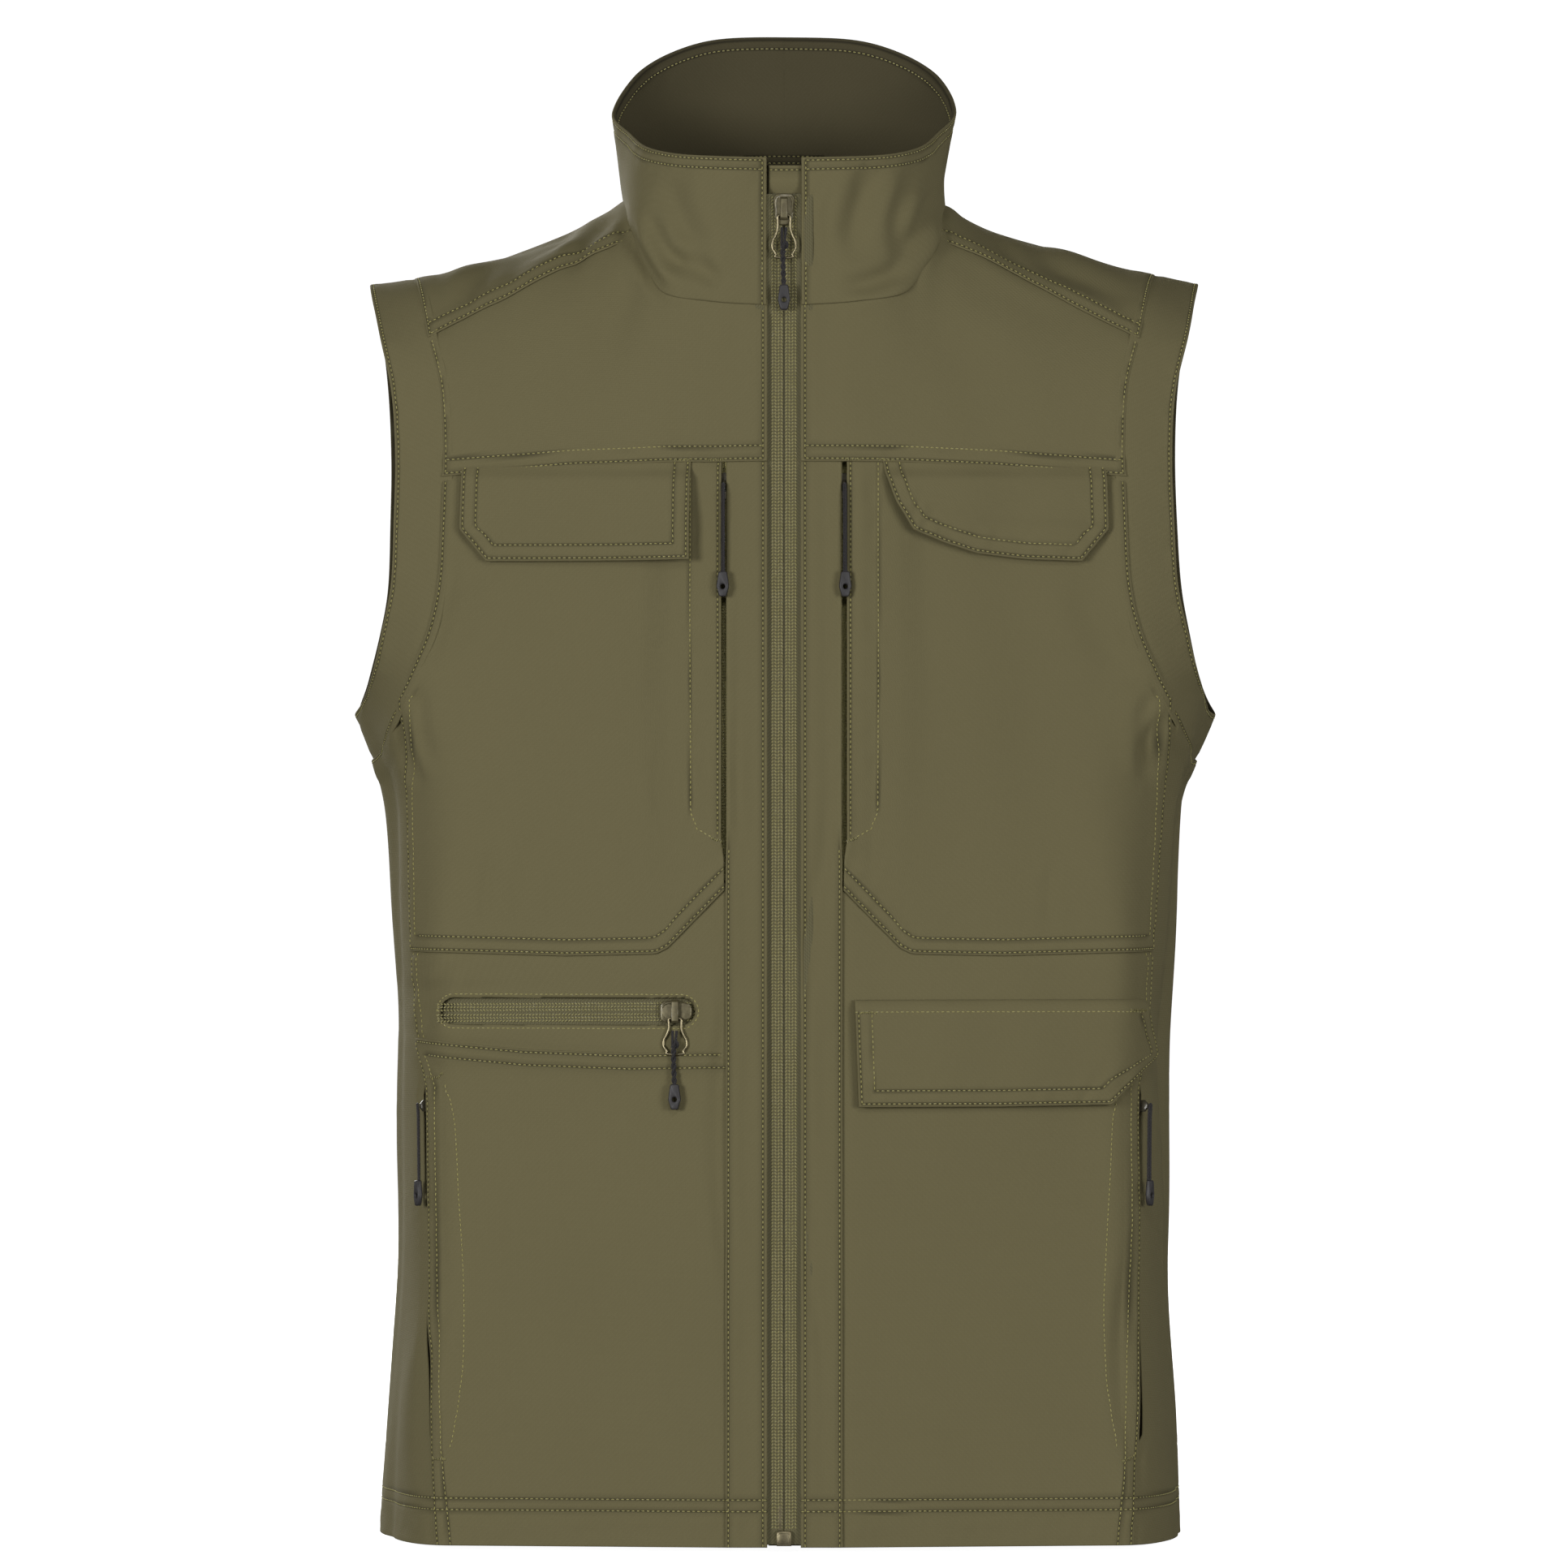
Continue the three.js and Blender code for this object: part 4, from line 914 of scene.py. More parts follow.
BAND_EDGE = band_curve(218, EDGE_FRONT, (226, MID_Y, 430), EDGE_BACK)
BAND_SEAM = on_body(band_curve(195, BAND_FRONT, (216, MID_Y, 405), BAND_BACK))
by_height = lambda found: sorted(found, key=lambda p: p[1])
ARMHOLE_FRONT = by_height((x, z) for x, y, z in BAND_SEAM if y < MID_Y and 437 <= z <= 625)
ARMHOLE_BACK = by_height((x, z) for x, y, z in BAND_SEAM if y > MID_Y and 433 <= z <= 627)
REAR_ROLL = 0.5  # where the shoulder yoke meets the back yoke


def shoulder_edge():
    """The outer edge of a shoulder yoke, along the armhole seam: (x, 100 times the roll), front to back."""
    x, y, z = BAND_SEAM.T
    roll = np.where(y < MID_Y, -1, 1) * roll_of(x, z) * 100
    start = -float(roll_of(185.0, 625.0)) * 100 + 1
    over = sorted((r, w) for r, w, h in zip(roll, x, z) if h > 620 and r > start)
    rear = np.interp(100 * REAR_ROLL, [r for r, _ in over], [w for _, w in over])
    return [(w, r) for r, w in over if r < 100 * REAR_ROLL - 1] + [(float(rear), 100 * REAR_ROLL)]


SHOULDER_EDGE = shoulder_edge()


def chest_yoke(side):
    neck = [(8.6, 644), (38, 646.5), (61, 651), (73, 667), (78, 684)]
    top = neck + shifted(smoothed(YOKE_SEAM)[2:], 0, TUCK)
    right = [(178, 552.5), *between(ARMHOLE_FRONT, 556, 624), (185, 630)]
    place = place_on(on_front, side, CHEST_SEAM, right, top, [(8.6, 560), (8.6, 644)])
    panel = Panel(place, (175, 85), {"bottom": DOUBLE, "left": AT_ZIP, "right": AT_ARMHOLE, "top": TUCKED})
    name = side_name(side)
    cloth_piece(f"chest_yoke_cloth_{name}", panel, [f"chest_yoke_{name}"], side)
    tack(panel, side, (31.5, 561, 39.5, 560.9), (48.5, 560.9, 57, 560.8), (157, 555.8, 165.5, 555.2))


SLIT = 32.4  # the free edge beside a chest slit
SIDE_TWIN_END = 0.53  # the share of the side seam that has a second row, up to the armhole


def chest_pocket(side):
    top = [(SLIT, 565), (60, 564.5), (110, 562.5), (178, 557.5)]
    left = [POCKET_SEAM[0], (31.2, 354), (SLIT, 364), (SLIT, 565)]
    seam = between(SIDE_SEAM, 306, 437) + between(ARMHOLE_FRONT, 438, 552) + [(178, 557.5)]
    place = place_on(on_front, side, POCKET_SEAM, seam, top, left)
    panel = Panel(place, (160, 250), {
        "bottom": {"over": True, "rows": [TOPSTITCH, 8.4]},
        "left": {"over": (0.1, 1), "rows": [(1.9, 0.13, 1), (16.3, 0.235, 1)]},
        "right": {"over": True, "rows": [1.5, (8.2, 0, SIDE_TWIN_END)]},
        "top": TUCKED})
    name = side_name(side)
    cloth_piece(f"chest_pocket_cloth_{name}", panel, [f"chest_pocket_{name}"], side)
    sew_curve(panel, side, smoothed([(48.7, 384), (47.6, 376), (44, 369.5), (37, 365.5)], 4))
    tack(panel, side, (31.8, 363, 37.5, 365.2))


OPENING = [(183.3, 50), (183.0, 100), (184.3, 160), (185.8, 236)]  # the front edge of a hand pocket


def lower_outer(low, high):
    outline = [(180, 0), (182.5, 34), *OPENING, (190.2, 256), (192, 300), (192, 330)]
    return between(outline, low, high)


def hand_rows(panel, side):
    """The bag of a hand pocket, caught down by a curved row, with a bar tack at each end."""
    curve = smoothed([(176, 238), (171.5, 222), (168, 175), (165, 122), (166.5, 85), (172, 50)], 5)
    sew_curve(panel, side, curve)
    tack(panel, side, (184.5, 240, 177, 242.6), (181.5, 45.5, 174.5, 43.4))


def lower_front(side):
    name = side_name(side)
    high = 255 if side < 0 else 311
    outer = lower_outer(0, 261 if side < 0 else 311)
    top = LOWER_SEAM if side < 0 else shifted(POCKET_SEAM, 0, TUCK)
    top = [(27.5, top[0][1]), *top[1:-1], outer[-1]]
    place = place_on(on_front, side, [(27.5, 0), outer[0]], outer, top, [(27.5, 0), top[0]])
    panel = Panel(place, (160, high), {"bottom": HEMMED, "left": TUCKED, "right": AT_HAND_POCKET,
                                       "top": DOUBLE if side < 0 else TUCKED})
    cloth_piece(f"lower_front_cloth_{name}", panel, [f"lower_front_{name}"], side)
    hand_rows(panel, side)


ZIP_SLOT = {"x0": 46.0, "x1": 178.0, "z": 275.5, "half": 6.8}


def stadium(x, z):
    """How far a point is outside the lower zip's rounded slot."""
    r = ZIP_SLOT["half"]
    over = np.maximum(0, np.maximum(ZIP_SLOT["x0"] + r - x, x - ZIP_SLOT["x1"] + r))
    return np.hypot(over, z - ZIP_SLOT["z"]) - r


def lower_band():
    """The strip of the wearer's right front that holds the horizontal zip."""
    bottom = shifted(LOWER_SEAM, 0, -TUCK)
    outer = lower_outer(256, 311)
    bottom = [(27.5, bottom[0][1]), *bottom[1:-1], outer[0]]
    top = [(27.5, 345), *shifted(POCKET_SEAM[1:-1], 0, TUCK), outer[-1]]
    place = place_on(on_front, -1, bottom, outer, top, [bottom[0], top[0]])
    edges = {"bottom": TUCKED, "left": TUCKED, "top": TUCKED, "right": AT_HAND_POCKET}
    panel = Panel(place, (160, 60), edges, step=1.6)
    panel.punch(lambda p: stadium(-p[..., 0], p[..., 2]))
    cloth_piece("lower_zip_cloth_right", panel, [], -1)
    r = ZIP_SLOT["half"] + 2.0
    turn = np.linspace(0, math.pi, 12)
    right = [(ZIP_SLOT["x1"] - r + 2 + r * math.sin(a), ZIP_SLOT["z"] + r * math.cos(a)) for a in turn]
    left = [(ZIP_SLOT["x0"] + r - 2 - r * math.sin(a), ZIP_SLOT["z"] - r * math.cos(a)) for a in turn]
    sew_curve(panel, -1, [*right, *left, right[0]])


PLACKET_EDGE = 8.6
PLACKET_SEAM = 30.2


def placket(side):
    right = [(PLACKET_SEAM, 0), (PLACKET_SEAM, 352), (29.9, 362), (29.9, 565)]
    low, high = (PLACKET_EDGE, 0), (PLACKET_EDGE, 565)
    place = place_on(on_front, side, [low, right[0]], right, [high, right[-1]], [low, high])
    panel = Panel(place, (21.6, 565), {"bottom": HEMMED, "top": TUCKED, "left": AT_ZIP,
                                       "right": {"over": (0, 0.62), "rows": [(1.5, 0, 0.64)]}})
    name = side_name(side)
    cloth_piece(f"placket_cloth_{name}", panel, [f"placket_{name}"], side)


GIRTH = 200  # millimetres for one step of girth in a side panel's outline


def side_panel(side):
    def round_body(outline, back=False):
        x, z = np.array(outline, float).T
        return np.stack([girth_of(x, z, back) * GIRTH, z], -1)

    front = round_body([(176, 0), (178.5, 30), (179.5, 45), (185.6, 56), (188.3, 232), (186, 243),
                        (187.5, 262), (188.5, 300), (195, 400), (198, 436)])
    back = round_body(shifted(BACK_SIDE_SEAM, -4, 0), True)
    under = [(girth_of(np.array(x), np.array(z), y > MID_Y) * GIRTH, z) for x, y, z in BAND_SEAM
             if z < 436 and x > 198]
    top = np.array([front[-1], *sorted(under, key=lambda p: p[0]), back[-1]], float)
    place = place_on(lambda girth, z: on_girth(girth / GIRTH, z), side,
                     [front[0], (GIRTH, 0), back[0]], back, top, front)
    name = side_name(side)
    panel = Panel(place, (150, 430), {"bottom": HEMMED, "left": TUCKED, "right": TUCKED,
                                      "top": {"over": True, "rows": [1.6]}}, step=3.0)
    cloth_piece(f"side_panel_cloth_{name}", panel, [f"side_panel_{name}"], side)


def back_panel():
    edge = BACK_SIDE_SEAM[:-1] + [p for p in ARMHOLE_BACK if 433 <= p[1] < 600] + [(187, 605)]
    left = [(-x, z) for x, z in edge]
    place = place_on(on_back, 1, [left[0], edge[0]], edge, [left[-1], edge[-1]], left)
    rows = {"over": True, "rows": [1.5, (8.2, 0, 0.7)]}
    panel = Panel(place, (385, 605), {"bottom": HEMMED, "left": rows, "right": rows, "top": TUCKED}, step=3.4)
    cloth_piece("back_panel_cloth", panel, ["back_panel"], "shell")


def rear_seam(x):
    return float(on_shoulder(np.array([x], float), np.array([REAR_ROLL]))[0, 2])


def back_yoke(side):
    end = SHOULDER_EDGE[-1][0]
    shoulder = [(x, rear_seam(x) + 2.5) for x in (77, 88, 95, 120, 150, 170, end)]
    neck = [(0, 721), (40, 718.5), (62, 714.5), (70, 711.5)]
    low = BACK_YOKE_Z
    right = [(187, low), *[p for p in ARMHOLE_BACK if low < p[1] < shoulder[-1][1] - 2], shoulder[-1]]
    place = place_on(on_back, side, [(0, low), right[0]], right, neck + shoulder, [(0, low), neck[0]])
    name = side_name(side)
    panel = Panel(place, (190, 115), {"bottom": DOUBLE, "top": TUCKED, "right": AT_ARMHOLE}, step=3.0,
                  seamless=("left",))
    nodes = ["back_yoke"] if side > 0 else []
    cloth_piece(f"back_yoke_cloth_{name}", panel, nodes, side)


def shoulder_yoke(side):
    front = [(x, -float(roll_of(x, z)) * 100) for x, z in smoothed(YOKE_SEAM)]
    outer = [front[-1], *SHOULDER_EDGE]
    inner = [front[0], (79, -50), (79.5, 0), (75, 25), (66, 100 * REAR_ROLL)]
    place = place_on(lambda x, roll: on_shoulder(x, roll / 100), side,
                     front, outer, [inner[-1], outer[-1]], inner)
    name = side_name(side)
    panel = Panel(place, (118, 110), {"bottom": DOUBLE, "top": DOUBLE, "right": AT_ARMHOLE, "left": TUCKED})
    cloth_piece(f"shoulder_yoke_cloth_{name}", panel, [f"shoulder_yoke_{name}"], side)


def armhole_band(side):
    low, high = along_knots(BAND_SEAM), along_knots(BAND_EDGE)
    tuck = 4.5 / 23

    def place(u, v):
        a, b = low(u), high(u)
        v = (v * (1 + tuck) - tuck)[..., None]
        return (a + (b - a) * v) * np.array([side, 1, 1])

    name = side_name(side)
    panel = Panel(place, (560, 27), {"bottom": TUCKED, "top": {"rows": [2.0]}}, closed=True, pucker=0.3,
                  centre=lambda p: points(0, MID_Y, 520), lift=lambda p: np.full(p.shape[:2], 0.4))
    nodes = [f"armhole_band_front_{name}", f"armhole_band_rear_{name}"]
    cloth_piece(f"armhole_band_cloth_{name}", panel, nodes, side)


def half_curve(control):
    """From the centre front to the centre back, through control points, level at the back."""
    p = np.array(control, float)
    ahead = p[-2] * np.array([-1, 1, 1])
    p = np.concatenate([[2 * p[0] - p[1]], p, [ahead]])
    return np.array(spline(p, 10) + [p[-2]])


def neck_curve():
    front = on_front(*np.array(NECK_FRONT, float).T)
    back = on_back(*np.array(NECK_BACK, float).T)
    return half_curve([*front, *on_shoulder(np.array([84.0]), np.array([0.0])), *back])


COLLAR = 2.0  # two layers and a stiffener


def collar(side):
    low, high = along_knots(neck_curve()), along_knots(half_curve(COLLAR_TOP))

    def place(u, v):
        a, b = low(u), high(u)
        return (a + (b - a) * v[..., None]) * np.array([side, 1, 1])

    def stand(base):
        up = (base[..., 2] - 641) / 77
        sag = 1.2 * waves(base, 60, 31 + side) * smooth(0, 0.4, up) * smooth(1.0, 0.7, up)
        return sag * smooth(12, 30, np.abs(base[..., 0])) + 0.9 * smooth(0.25, 0.05, up)

    name = side_name(side)
    panel = Panel(place, (250, 76), {"top": {"rows": [1.7, 6.4]}, "left": {"rows": [2.3]}}, thickness=COLLAR,
                  lift=stand, seamless=("right",), centre=lambda p: points(0, 0, p[..., 2]), pucker=0.24)
    nodes = [f"collar_front_{name}"] + (["collar_back"] if side > 0 else [])
    cloth_piece(f"collar_cloth_{name}", panel, nodes, side)
    inner = Panel.__new__(Panel)
    inner.__dict__.update(panel.__dict__)
    inner.outer, inner.normal = panel.inner, -panel.normal
    SEWN[side].append(inner.row("top", 6.4))


for side in (-1, 1):
    chest_yoke(side)
    chest_pocket(side)
    lower_front(side)
    placket(side)
    side_panel(side)
    back_yoke(side)
    shoulder_yoke(side)
    armhole_band(side)
    collar(side)
lower_band()
back_panel()


# ---- flaps ----
def flap(name, side, outlines, node, body, stand, tuck, curl=None, rows_to=1.0):
    """A pocket flap that hangs from its top edge, double stitched round the other three."""
    bottom, right, top, left = outlines
    place = place_on(on_front, side, bottom, right, top, left)
    top_z = max(z for _, z in top)

    def lift(base):
        hangs = smooth(top_z - tuck, top_z - tuck - 9, base[..., 2])
        return stand * hangs + 0.85 + 0.5 * hangs * waves(base, 45, 51 + side) + (curl(base) if curl else 0)

    rows = {"rows": [(1.7, 0.0, rows_to), (8.5, 0.0, rows_to)]}
    panel = Panel(place, (118, 52), {"left": rows, "right": rows, "bottom": {"rows": [1.7, 8.5]}}, lift=lift,
                  thickness=2.0, step=2.0, pucker=0.2)
    cloth_piece(name, panel, [node], body)
    return panel


def chest_flap(side):
    name = side_name(side)
    right = [(154, 508), (168, 525), (167, 557.5)]
    if side < 0:
        low, high = (48, 508.5), (48, 560)
        outlines = ([low, (100, 508), (154, 508)], right, [high, right[-1]], [low, high])
    else:
        low = (66, 524)
        outlines = ([low, (82, 517.5), (99, 512), (125, 509), (154, 508)], right, [(51, 560), right[-1]],
                    [low, (57, 539), (52, 553), (51, 560)])

    def curl(base):
        return 3.4 * smooth(112, 54, np.abs(base[..., 0])) * smooth(556, 526, base[..., 2])

    flap(f"chest_flap_cloth_{name}", side, outlines, f"chest_flap_{name}", f"{name}_chest_flap", 4.0, 1.5,
         curl)


def lower_flap():
    right = [(169, 227), (192, 252), (185, 281.5)]
    outlines = ([(38, 226), (110, 226), (169, 227)], right, [(36, 281.5), (110, 281.5), right[-1]],
                [(38, 226), (36, 281.5)])
    panel = flap("lower_flap_cloth_left", 1, outlines, "lower_flap_left", "lower_flap", 4.6, -4.0,
                 rows_to=0.88)
    SEWN["lower_flap"].append(panel.row("top", 6.5, 0.0, 0.98))
    ends = ((38.5, 275), (46.5, 275)), ((176, 275.6), (184, 275.8))
    TACKS["lower_flap"] = [bar for a, b in ends for bar in bar_tack(panel, a, b)]


for side in (-1, 1):
    chest_flap(side)
lower_flap()


# ---- inside layers ----
def inner_sheet(name, side, x0, x1, z0, z1, depth, node, key, thickness=1.0, outside=None,
                step=6.0, still=False, lift=None):
    place = place_on(on_front, side, [(x0, z0), (x1, z0)], [(x1, z0), (x1, z1)], [(x0, z1), (x1, z1)],
                     [(x0, z0), (x0, z1)])
    panel = Panel(place, (abs(x1 - x0), z1 - z0), depth=-depth, thickness=thickness, step=step, still=still,
                  lift=lift)
    cloth_piece(name, panel, [node], key, outside or LINING_DARKENED_AS_SHADE, outside or LINING_DARKENED_AS_SHADE)


for side in (-1, 1):
    name = side_name(side)
    inner_sheet(f"chest_bag_cloth_{name}", side, 39, 160, 330, 545, 4.4, f"chest_bag_{name}", side)
    inner_sheet(f"hand_bag_cloth_{name}", side, 70, 172, 40, 222, 6.4, f"hand_bag_{name}", side)
inner_sheet("lower_flap_bag_cloth", 1, 38, 164, 70, 272, 3.0, "lower_flap_bag_left", 1)
inner_sheet("lower_zip_bag_cloth", -1, 46, 164, 110, 263, 3.0, "lower_zip_bag_right", -1)


def zip_facing():
    """The strip behind the main zip. Its top folds forward between the collar halves as the zip's garage."""
    low, high = 1.0, 714.0

    def place(u, v):
        x, z = -8 + 34 * u, low + (high - low) * v
        return on_front(x, z)

    panel = Panel(place, (34, 713), {"top": {"rows": [2.4]}}, depth=-7.0, thickness=1.0, still=True, step=4.0,
                  lift=lambda p: 4.2 * smooth(697, 704, p[..., 2]) * smooth(16, 12, p[..., 0]))
    cloth_piece("zip_facing_cloth", panel, ["zip_facing"], 1)


zip_facing()


def hanger_loop():
    half_length, half_height, bow = 22.0, 3.0, 10.0
    depth = float(through(BACK_DEPTH, 720.0)) - 3.4

    def place(u, v):
        t = 2 * u - 1
        return points(t * half_length, depth - bow * (1 - t * t), 724 + half_height * (2 * v - 1))

    panel = Panel(place, (48, 6), {"top": {"rows": [1.2]}, "bottom": {"rows": [1.2]}}, still=True,
                  thickness=1.2, centre=lambda p: points(0, 200, p[..., 2]), pucker=0.1)
    cloth_piece("hanger_loop_cloth", panel, ["hanger_loop"], "shell", LINING_DARKENED_AS_SHADE)


hanger_loop()


# ---- small hard parts ----
UP = np.array([0, FRONT_LEAN, 1]) / math.hypot(FRONT_LEAN, 1)
OUT = np.array([0, -1, FRONT_LEAN]) / math.hypot(FRONT_LEAN, 1)


class Frame:
    """Local X across, Y along and Z out of the cloth."""

    def __init__(self, origin, direction, outward):
        y = np.array(direction, float)
        y /= np.linalg.norm(y)
        z = np.array(outward, float)
        z -= y * (z @ y)
        z /= np.linalg.norm(z)
        self.axes = np.array([np.cross(y, z), y, z])
        self.origin = np.array(origin, float)

    def at(self, p):
        return self.origin + np.asarray(p, float) @ self.axes

    def moved(self, x=0.0, y=0.0, z=0.0):
        made = Frame.__new__(Frame)
        made.axes, made.origin = self.axes, self.at((x, y, z))
        return made

    def turned(self):
        """A quarter turn, so that local Y runs to the old -X."""
        made = Frame.__new__(Frame)
        made.axes = np.array([self.axes[1], -self.axes[0], self.axes[2]])
        made.origin = self.origin
        return made


def zip_frame(z):
    return Frame((0, -front_depth(z), z), UP, OUT)


def sloped_frame(side, x, z):
    outward = np.cross((1, side * FRONT_SLOPE, 0), UP)
    return Frame(on_front(side * x, z), UP, outward)


HAND_LOW, HAND_HIGH = (184.5, 50.0), (187.0, 236.0)


def hand_frame(side):
    low, high = on_front(*HAND_LOW), on_front(*HAND_HIGH)
    middle = [(a + b) / 2 for a, b in zip(HAND_LOW, HAND_HIGH)]
    tangent = on_front(middle[0] + 2, middle[1]) - on_front(middle[0] - 2, middle[1])
    mirror = np.array([side, 1, 1])
    outward = np.cross(tangent, high - low) * mirror
    return Frame(high * mirror, (high - low) * mirror, outward).moved(y=-10)


def mirrored(half):
    left = [(-x, y) for x, y in reversed(half)]
    whole = list(half) + left
    return [p for i, p in enumerate(whole) if p != whole[i - 1]]


def rounded(outline, per=4):
    """A closed smooth curve through an outline's points."""
    return np.array(spline(np.array(outline, float), per, closed=True))


def plate(outline, low, high, bevel, hole=None, steps=3):
    """An outline with rounded edges and an optional hole, as vertices and faces."""
    vertices, faces, caps = [], [], [[], []]
    for loop, sign in ((outline, 1), (hole, -1)):
        if loop is None:
            continue
        loop = np.array(loop, float)
        area = np.sum(loop[:, 0] * np.roll(loop[:, 1], -1) - np.roll(loop[:, 0], -1) * loop[:, 1])
        if area * sign < 0:
            loop = loop[::-1]
        edge = np.roll(loop, -1, 0) - loop
        edge /= np.linalg.norm(edge, axis=1, keepdims=True)
        way = edge + np.roll(edge, 1, 0)
        way /= np.linalg.norm(way, axis=1, keepdims=True)
        outward = np.stack([way[:, 1], -way[:, 0]], 1)
        angles = np.linspace(0, math.pi / 2, steps + 1)
        turn = [(bevel * (1 - math.sin(a)), low + bevel * (1 - math.cos(a))) for a in angles]
        turn += [(inset, high + low - z) for inset, z in reversed(turn)]
        start, count = len(vertices), len(loop)
        for inset, z in turn:
            for x, y in loop - outward * inset:
                vertices.append((x, y, z))
        for k in range(len(turn) - 1):
            for i in range(count):
                j = (i + 1) % count
                a, b = start + k * count, start + (k + 1) * count
                faces.append((a + i, a + j, b + j, b + i))
        caps[0].append(range(start, start + count))
        caps[1].append(range(start + (len(turn) - 1) * count, start + len(turn) * count))
    for side, loops in enumerate(caps):
        index = [i for loop in loops for i in loop]
        flat = [[Vector((*vertices[i][:2], 0)) for i in loop] for loop in loops]
        for a, b, c in tessellate_polygon(flat):
            p, q, r = (np.array(vertices[index[k]][:2]) for k in (a, b, c))
            (ux, uy), (wx, wy) = q - p, r - p
            upward = ux * wy - uy * wx > 0
            face = (index[a], index[b], index[c])
            faces.append(face if upward == bool(side) else face[::-1])
    return np.array(vertices), faces


def tube(path, radius, sides=10, closed=False):
    """A round tube along a path; radius is one number or one for each point."""
    p = np.array(path, float)
    r = np.broadcast_to(np.asarray(radius, float), (len(p),))
    way = (np.roll(p, -1, 0) - np.roll(p, 1, 0)) if closed else np.gradient(p, axis=0)
    way /= np.linalg.norm(way, axis=1, keepdims=True) + 1e-12
    normal = np.cross(way[0], (0.31, 0.2, 0.93))
    vertices, faces = [], []
    angle = np.arange(sides) * 2 * math.pi / sides
    for point, w, size in zip(p, way, r):
        normal = normal - w * (normal @ w)
        normal /= np.linalg.norm(normal)
        other = np.cross(w, normal)
        vertices.append(point + size * (np.cos(angle)[:, None] * normal + np.sin(angle)[:, None] * other))
    rings = len(p)
    for k in range(rings if closed else rings - 1):
        shift = 0
        if closed and k == rings - 1:
            shift = int(np.argmin(np.linalg.norm(vertices[0] - vertices[-1][0], axis=1)))
        for i in range(sides):
            j = (i + 1) % sides
            a, b = k * sides, ((k + 1) % rings) * sides
            faces.append((a + i, a + j, b + (j + shift) % sides, b + (i + shift) % sides))
    if not closed:
        faces += [tuple(reversed(range(sides))), tuple(range((rings - 1) * sides, rings * sides))]
    return np.concatenate(vertices), faces


def together(parts):
    vertices, faces = [], []
    for points_of, faces_of in parts:
        start = sum(len(v) for v in vertices)
        vertices.append(np.asarray(points_of, float))
        faces += [tuple(start + i for i in face) for face in faces_of]
    return np.concatenate(vertices), faces


def hard_piece(name, parts, place, material, body, nodes):
    vertices, faces = together(parts)
    piece = make_mesh(name, place.at(vertices), faces, material, body, smooth_shade=False)
    piece.data.set_sharp_from_angle(angle=math.radians(40))
    piece.data.polygons.foreach_set("use_smooth", [True] * len(piece.data.polygons))
    if nodes:
        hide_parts(*nodes)
    return piece


def circle(x, y, radius, count=16):
    turn = np.arange(count) * 2 * math.pi / count
    return [(x + radius * math.cos(a), y + radius * math.sin(a)) for a in turn]


PIVOT = {"along": -3.6, "out": 1.9}


def slider_parts(across=False):
    """A zip slider: a waisted body with a rounded nose, two shoulders, and a bail that the pull hangs in."""
    body = rounded(mirrored([(1.4, 8.0), (4.4, 7.4), (5.6, 4.6), (5.0, 0.0), (4.5, -5.2), (3.2, -8.0)]), 3)
    low = rounded(mirrored([(1.4, 7.6), (4.2, 7.0), (5.2, 4.4), (4.5, -5.0), (3.0, -7.6)]), 3)
    shoulders = [tube([(s * 1.6, 6.6, 0.7), (s * 3.6, 6.0, 0.9), (s * 4.5, 4.0, 0.9), (s * 4.3, 0.5, 0.8),
                       (s * 3.9, -3.5, 0.6)], [0.3, 0.65, 0.75, 0.6, 0.25], 8) for s in (-1, 1)]
    arch = [(-6.0, 0), (-5.9, 2.0), (-4.8, 3.1), (0, 3.4), (4.8, 3.1), (5.9, 1.6), (6.2, 0)]
    under = [(4.9, 0), (4.6, 1.4), (3.8, 2.0), (0, 2.2), (-4.0, 2.0), (-4.8, 1.2), (-4.9, 0)]
    strap = plate([(y, 0.6 + h) for y, h in arch + under], -1.9, 1.9, 0.55)
    strap = (strap[0][:, [2, 0, 1]], strap[1])
    parts = [plate(body, -1.5, 0.9, 0.7), plate(low, -6.2, -5.0, 0.4), *shoulders, strap]
    if across:
        parts = [(v[:, [1, 0, 2]] * np.array([-1, 1, 1]) if p is not strap else v, f) for p in parts
                 for v, f in [p]]
    return parts


def wire_pull_parts(length):
    """Bent wire: a crossbar in the bail, two legs that flare and close in a rounded foot."""
    k = length / 22.6
    half = [(2.4, 0.0), (3.25, -0.6), (3.3, -2.4), (3.3, -6.5 * k), (4.5, -10.2 * k), (5.95, -13.6 * k),
            (5.9, -17.2 * k), (4.3, -20.0 * k), (4.6, -21.4 * k), (2.6, -22.0 * k)]
    loop = rounded(mirrored(half), 4)
    path = points(loop[:, 0], loop[:, 1], 0.35 * np.sin(loop[:, 1] / length * math.pi))
    return [tube(path, 0.74, 10, closed=True)]


def cord_parts(start, end, knot):
    """A doubled cord: two strands to a knot, then twisted to the moulded end."""
    parts = []
    out, close, wide, twist = 1.75, 0.72, 1.0, 7.5
    for sign in (-1, 1):
        ys = np.linspace(-start, -end, 46)
        phase = np.clip(-ys - knot, 0, None) / twist * 2 * math.pi
        spread = close + (wide - close) * smooth(knot, start, -ys)
        x = sign * spread * np.cos(phase) + 0.5 * np.sin((ys + start) / (end - start) * math.pi)
        z = out + sign * 0.6 * np.sin(phase)
        parts.append(tube(points(x, ys, z), 0.72, 8))
    t = np.linspace(0, 2 * math.pi, 28, endpoint=False)
    turns = points(1.3 * np.cos(t) * (1 + 0.3 * np.cos(3 * t)), -knot + 1.5 * np.sin(2 * t),
                   out + 1.0 * np.sin(t) + 0.3 * np.cos(3 * t))
    return parts + [tube(turns, 0.74, 8, closed=True)]


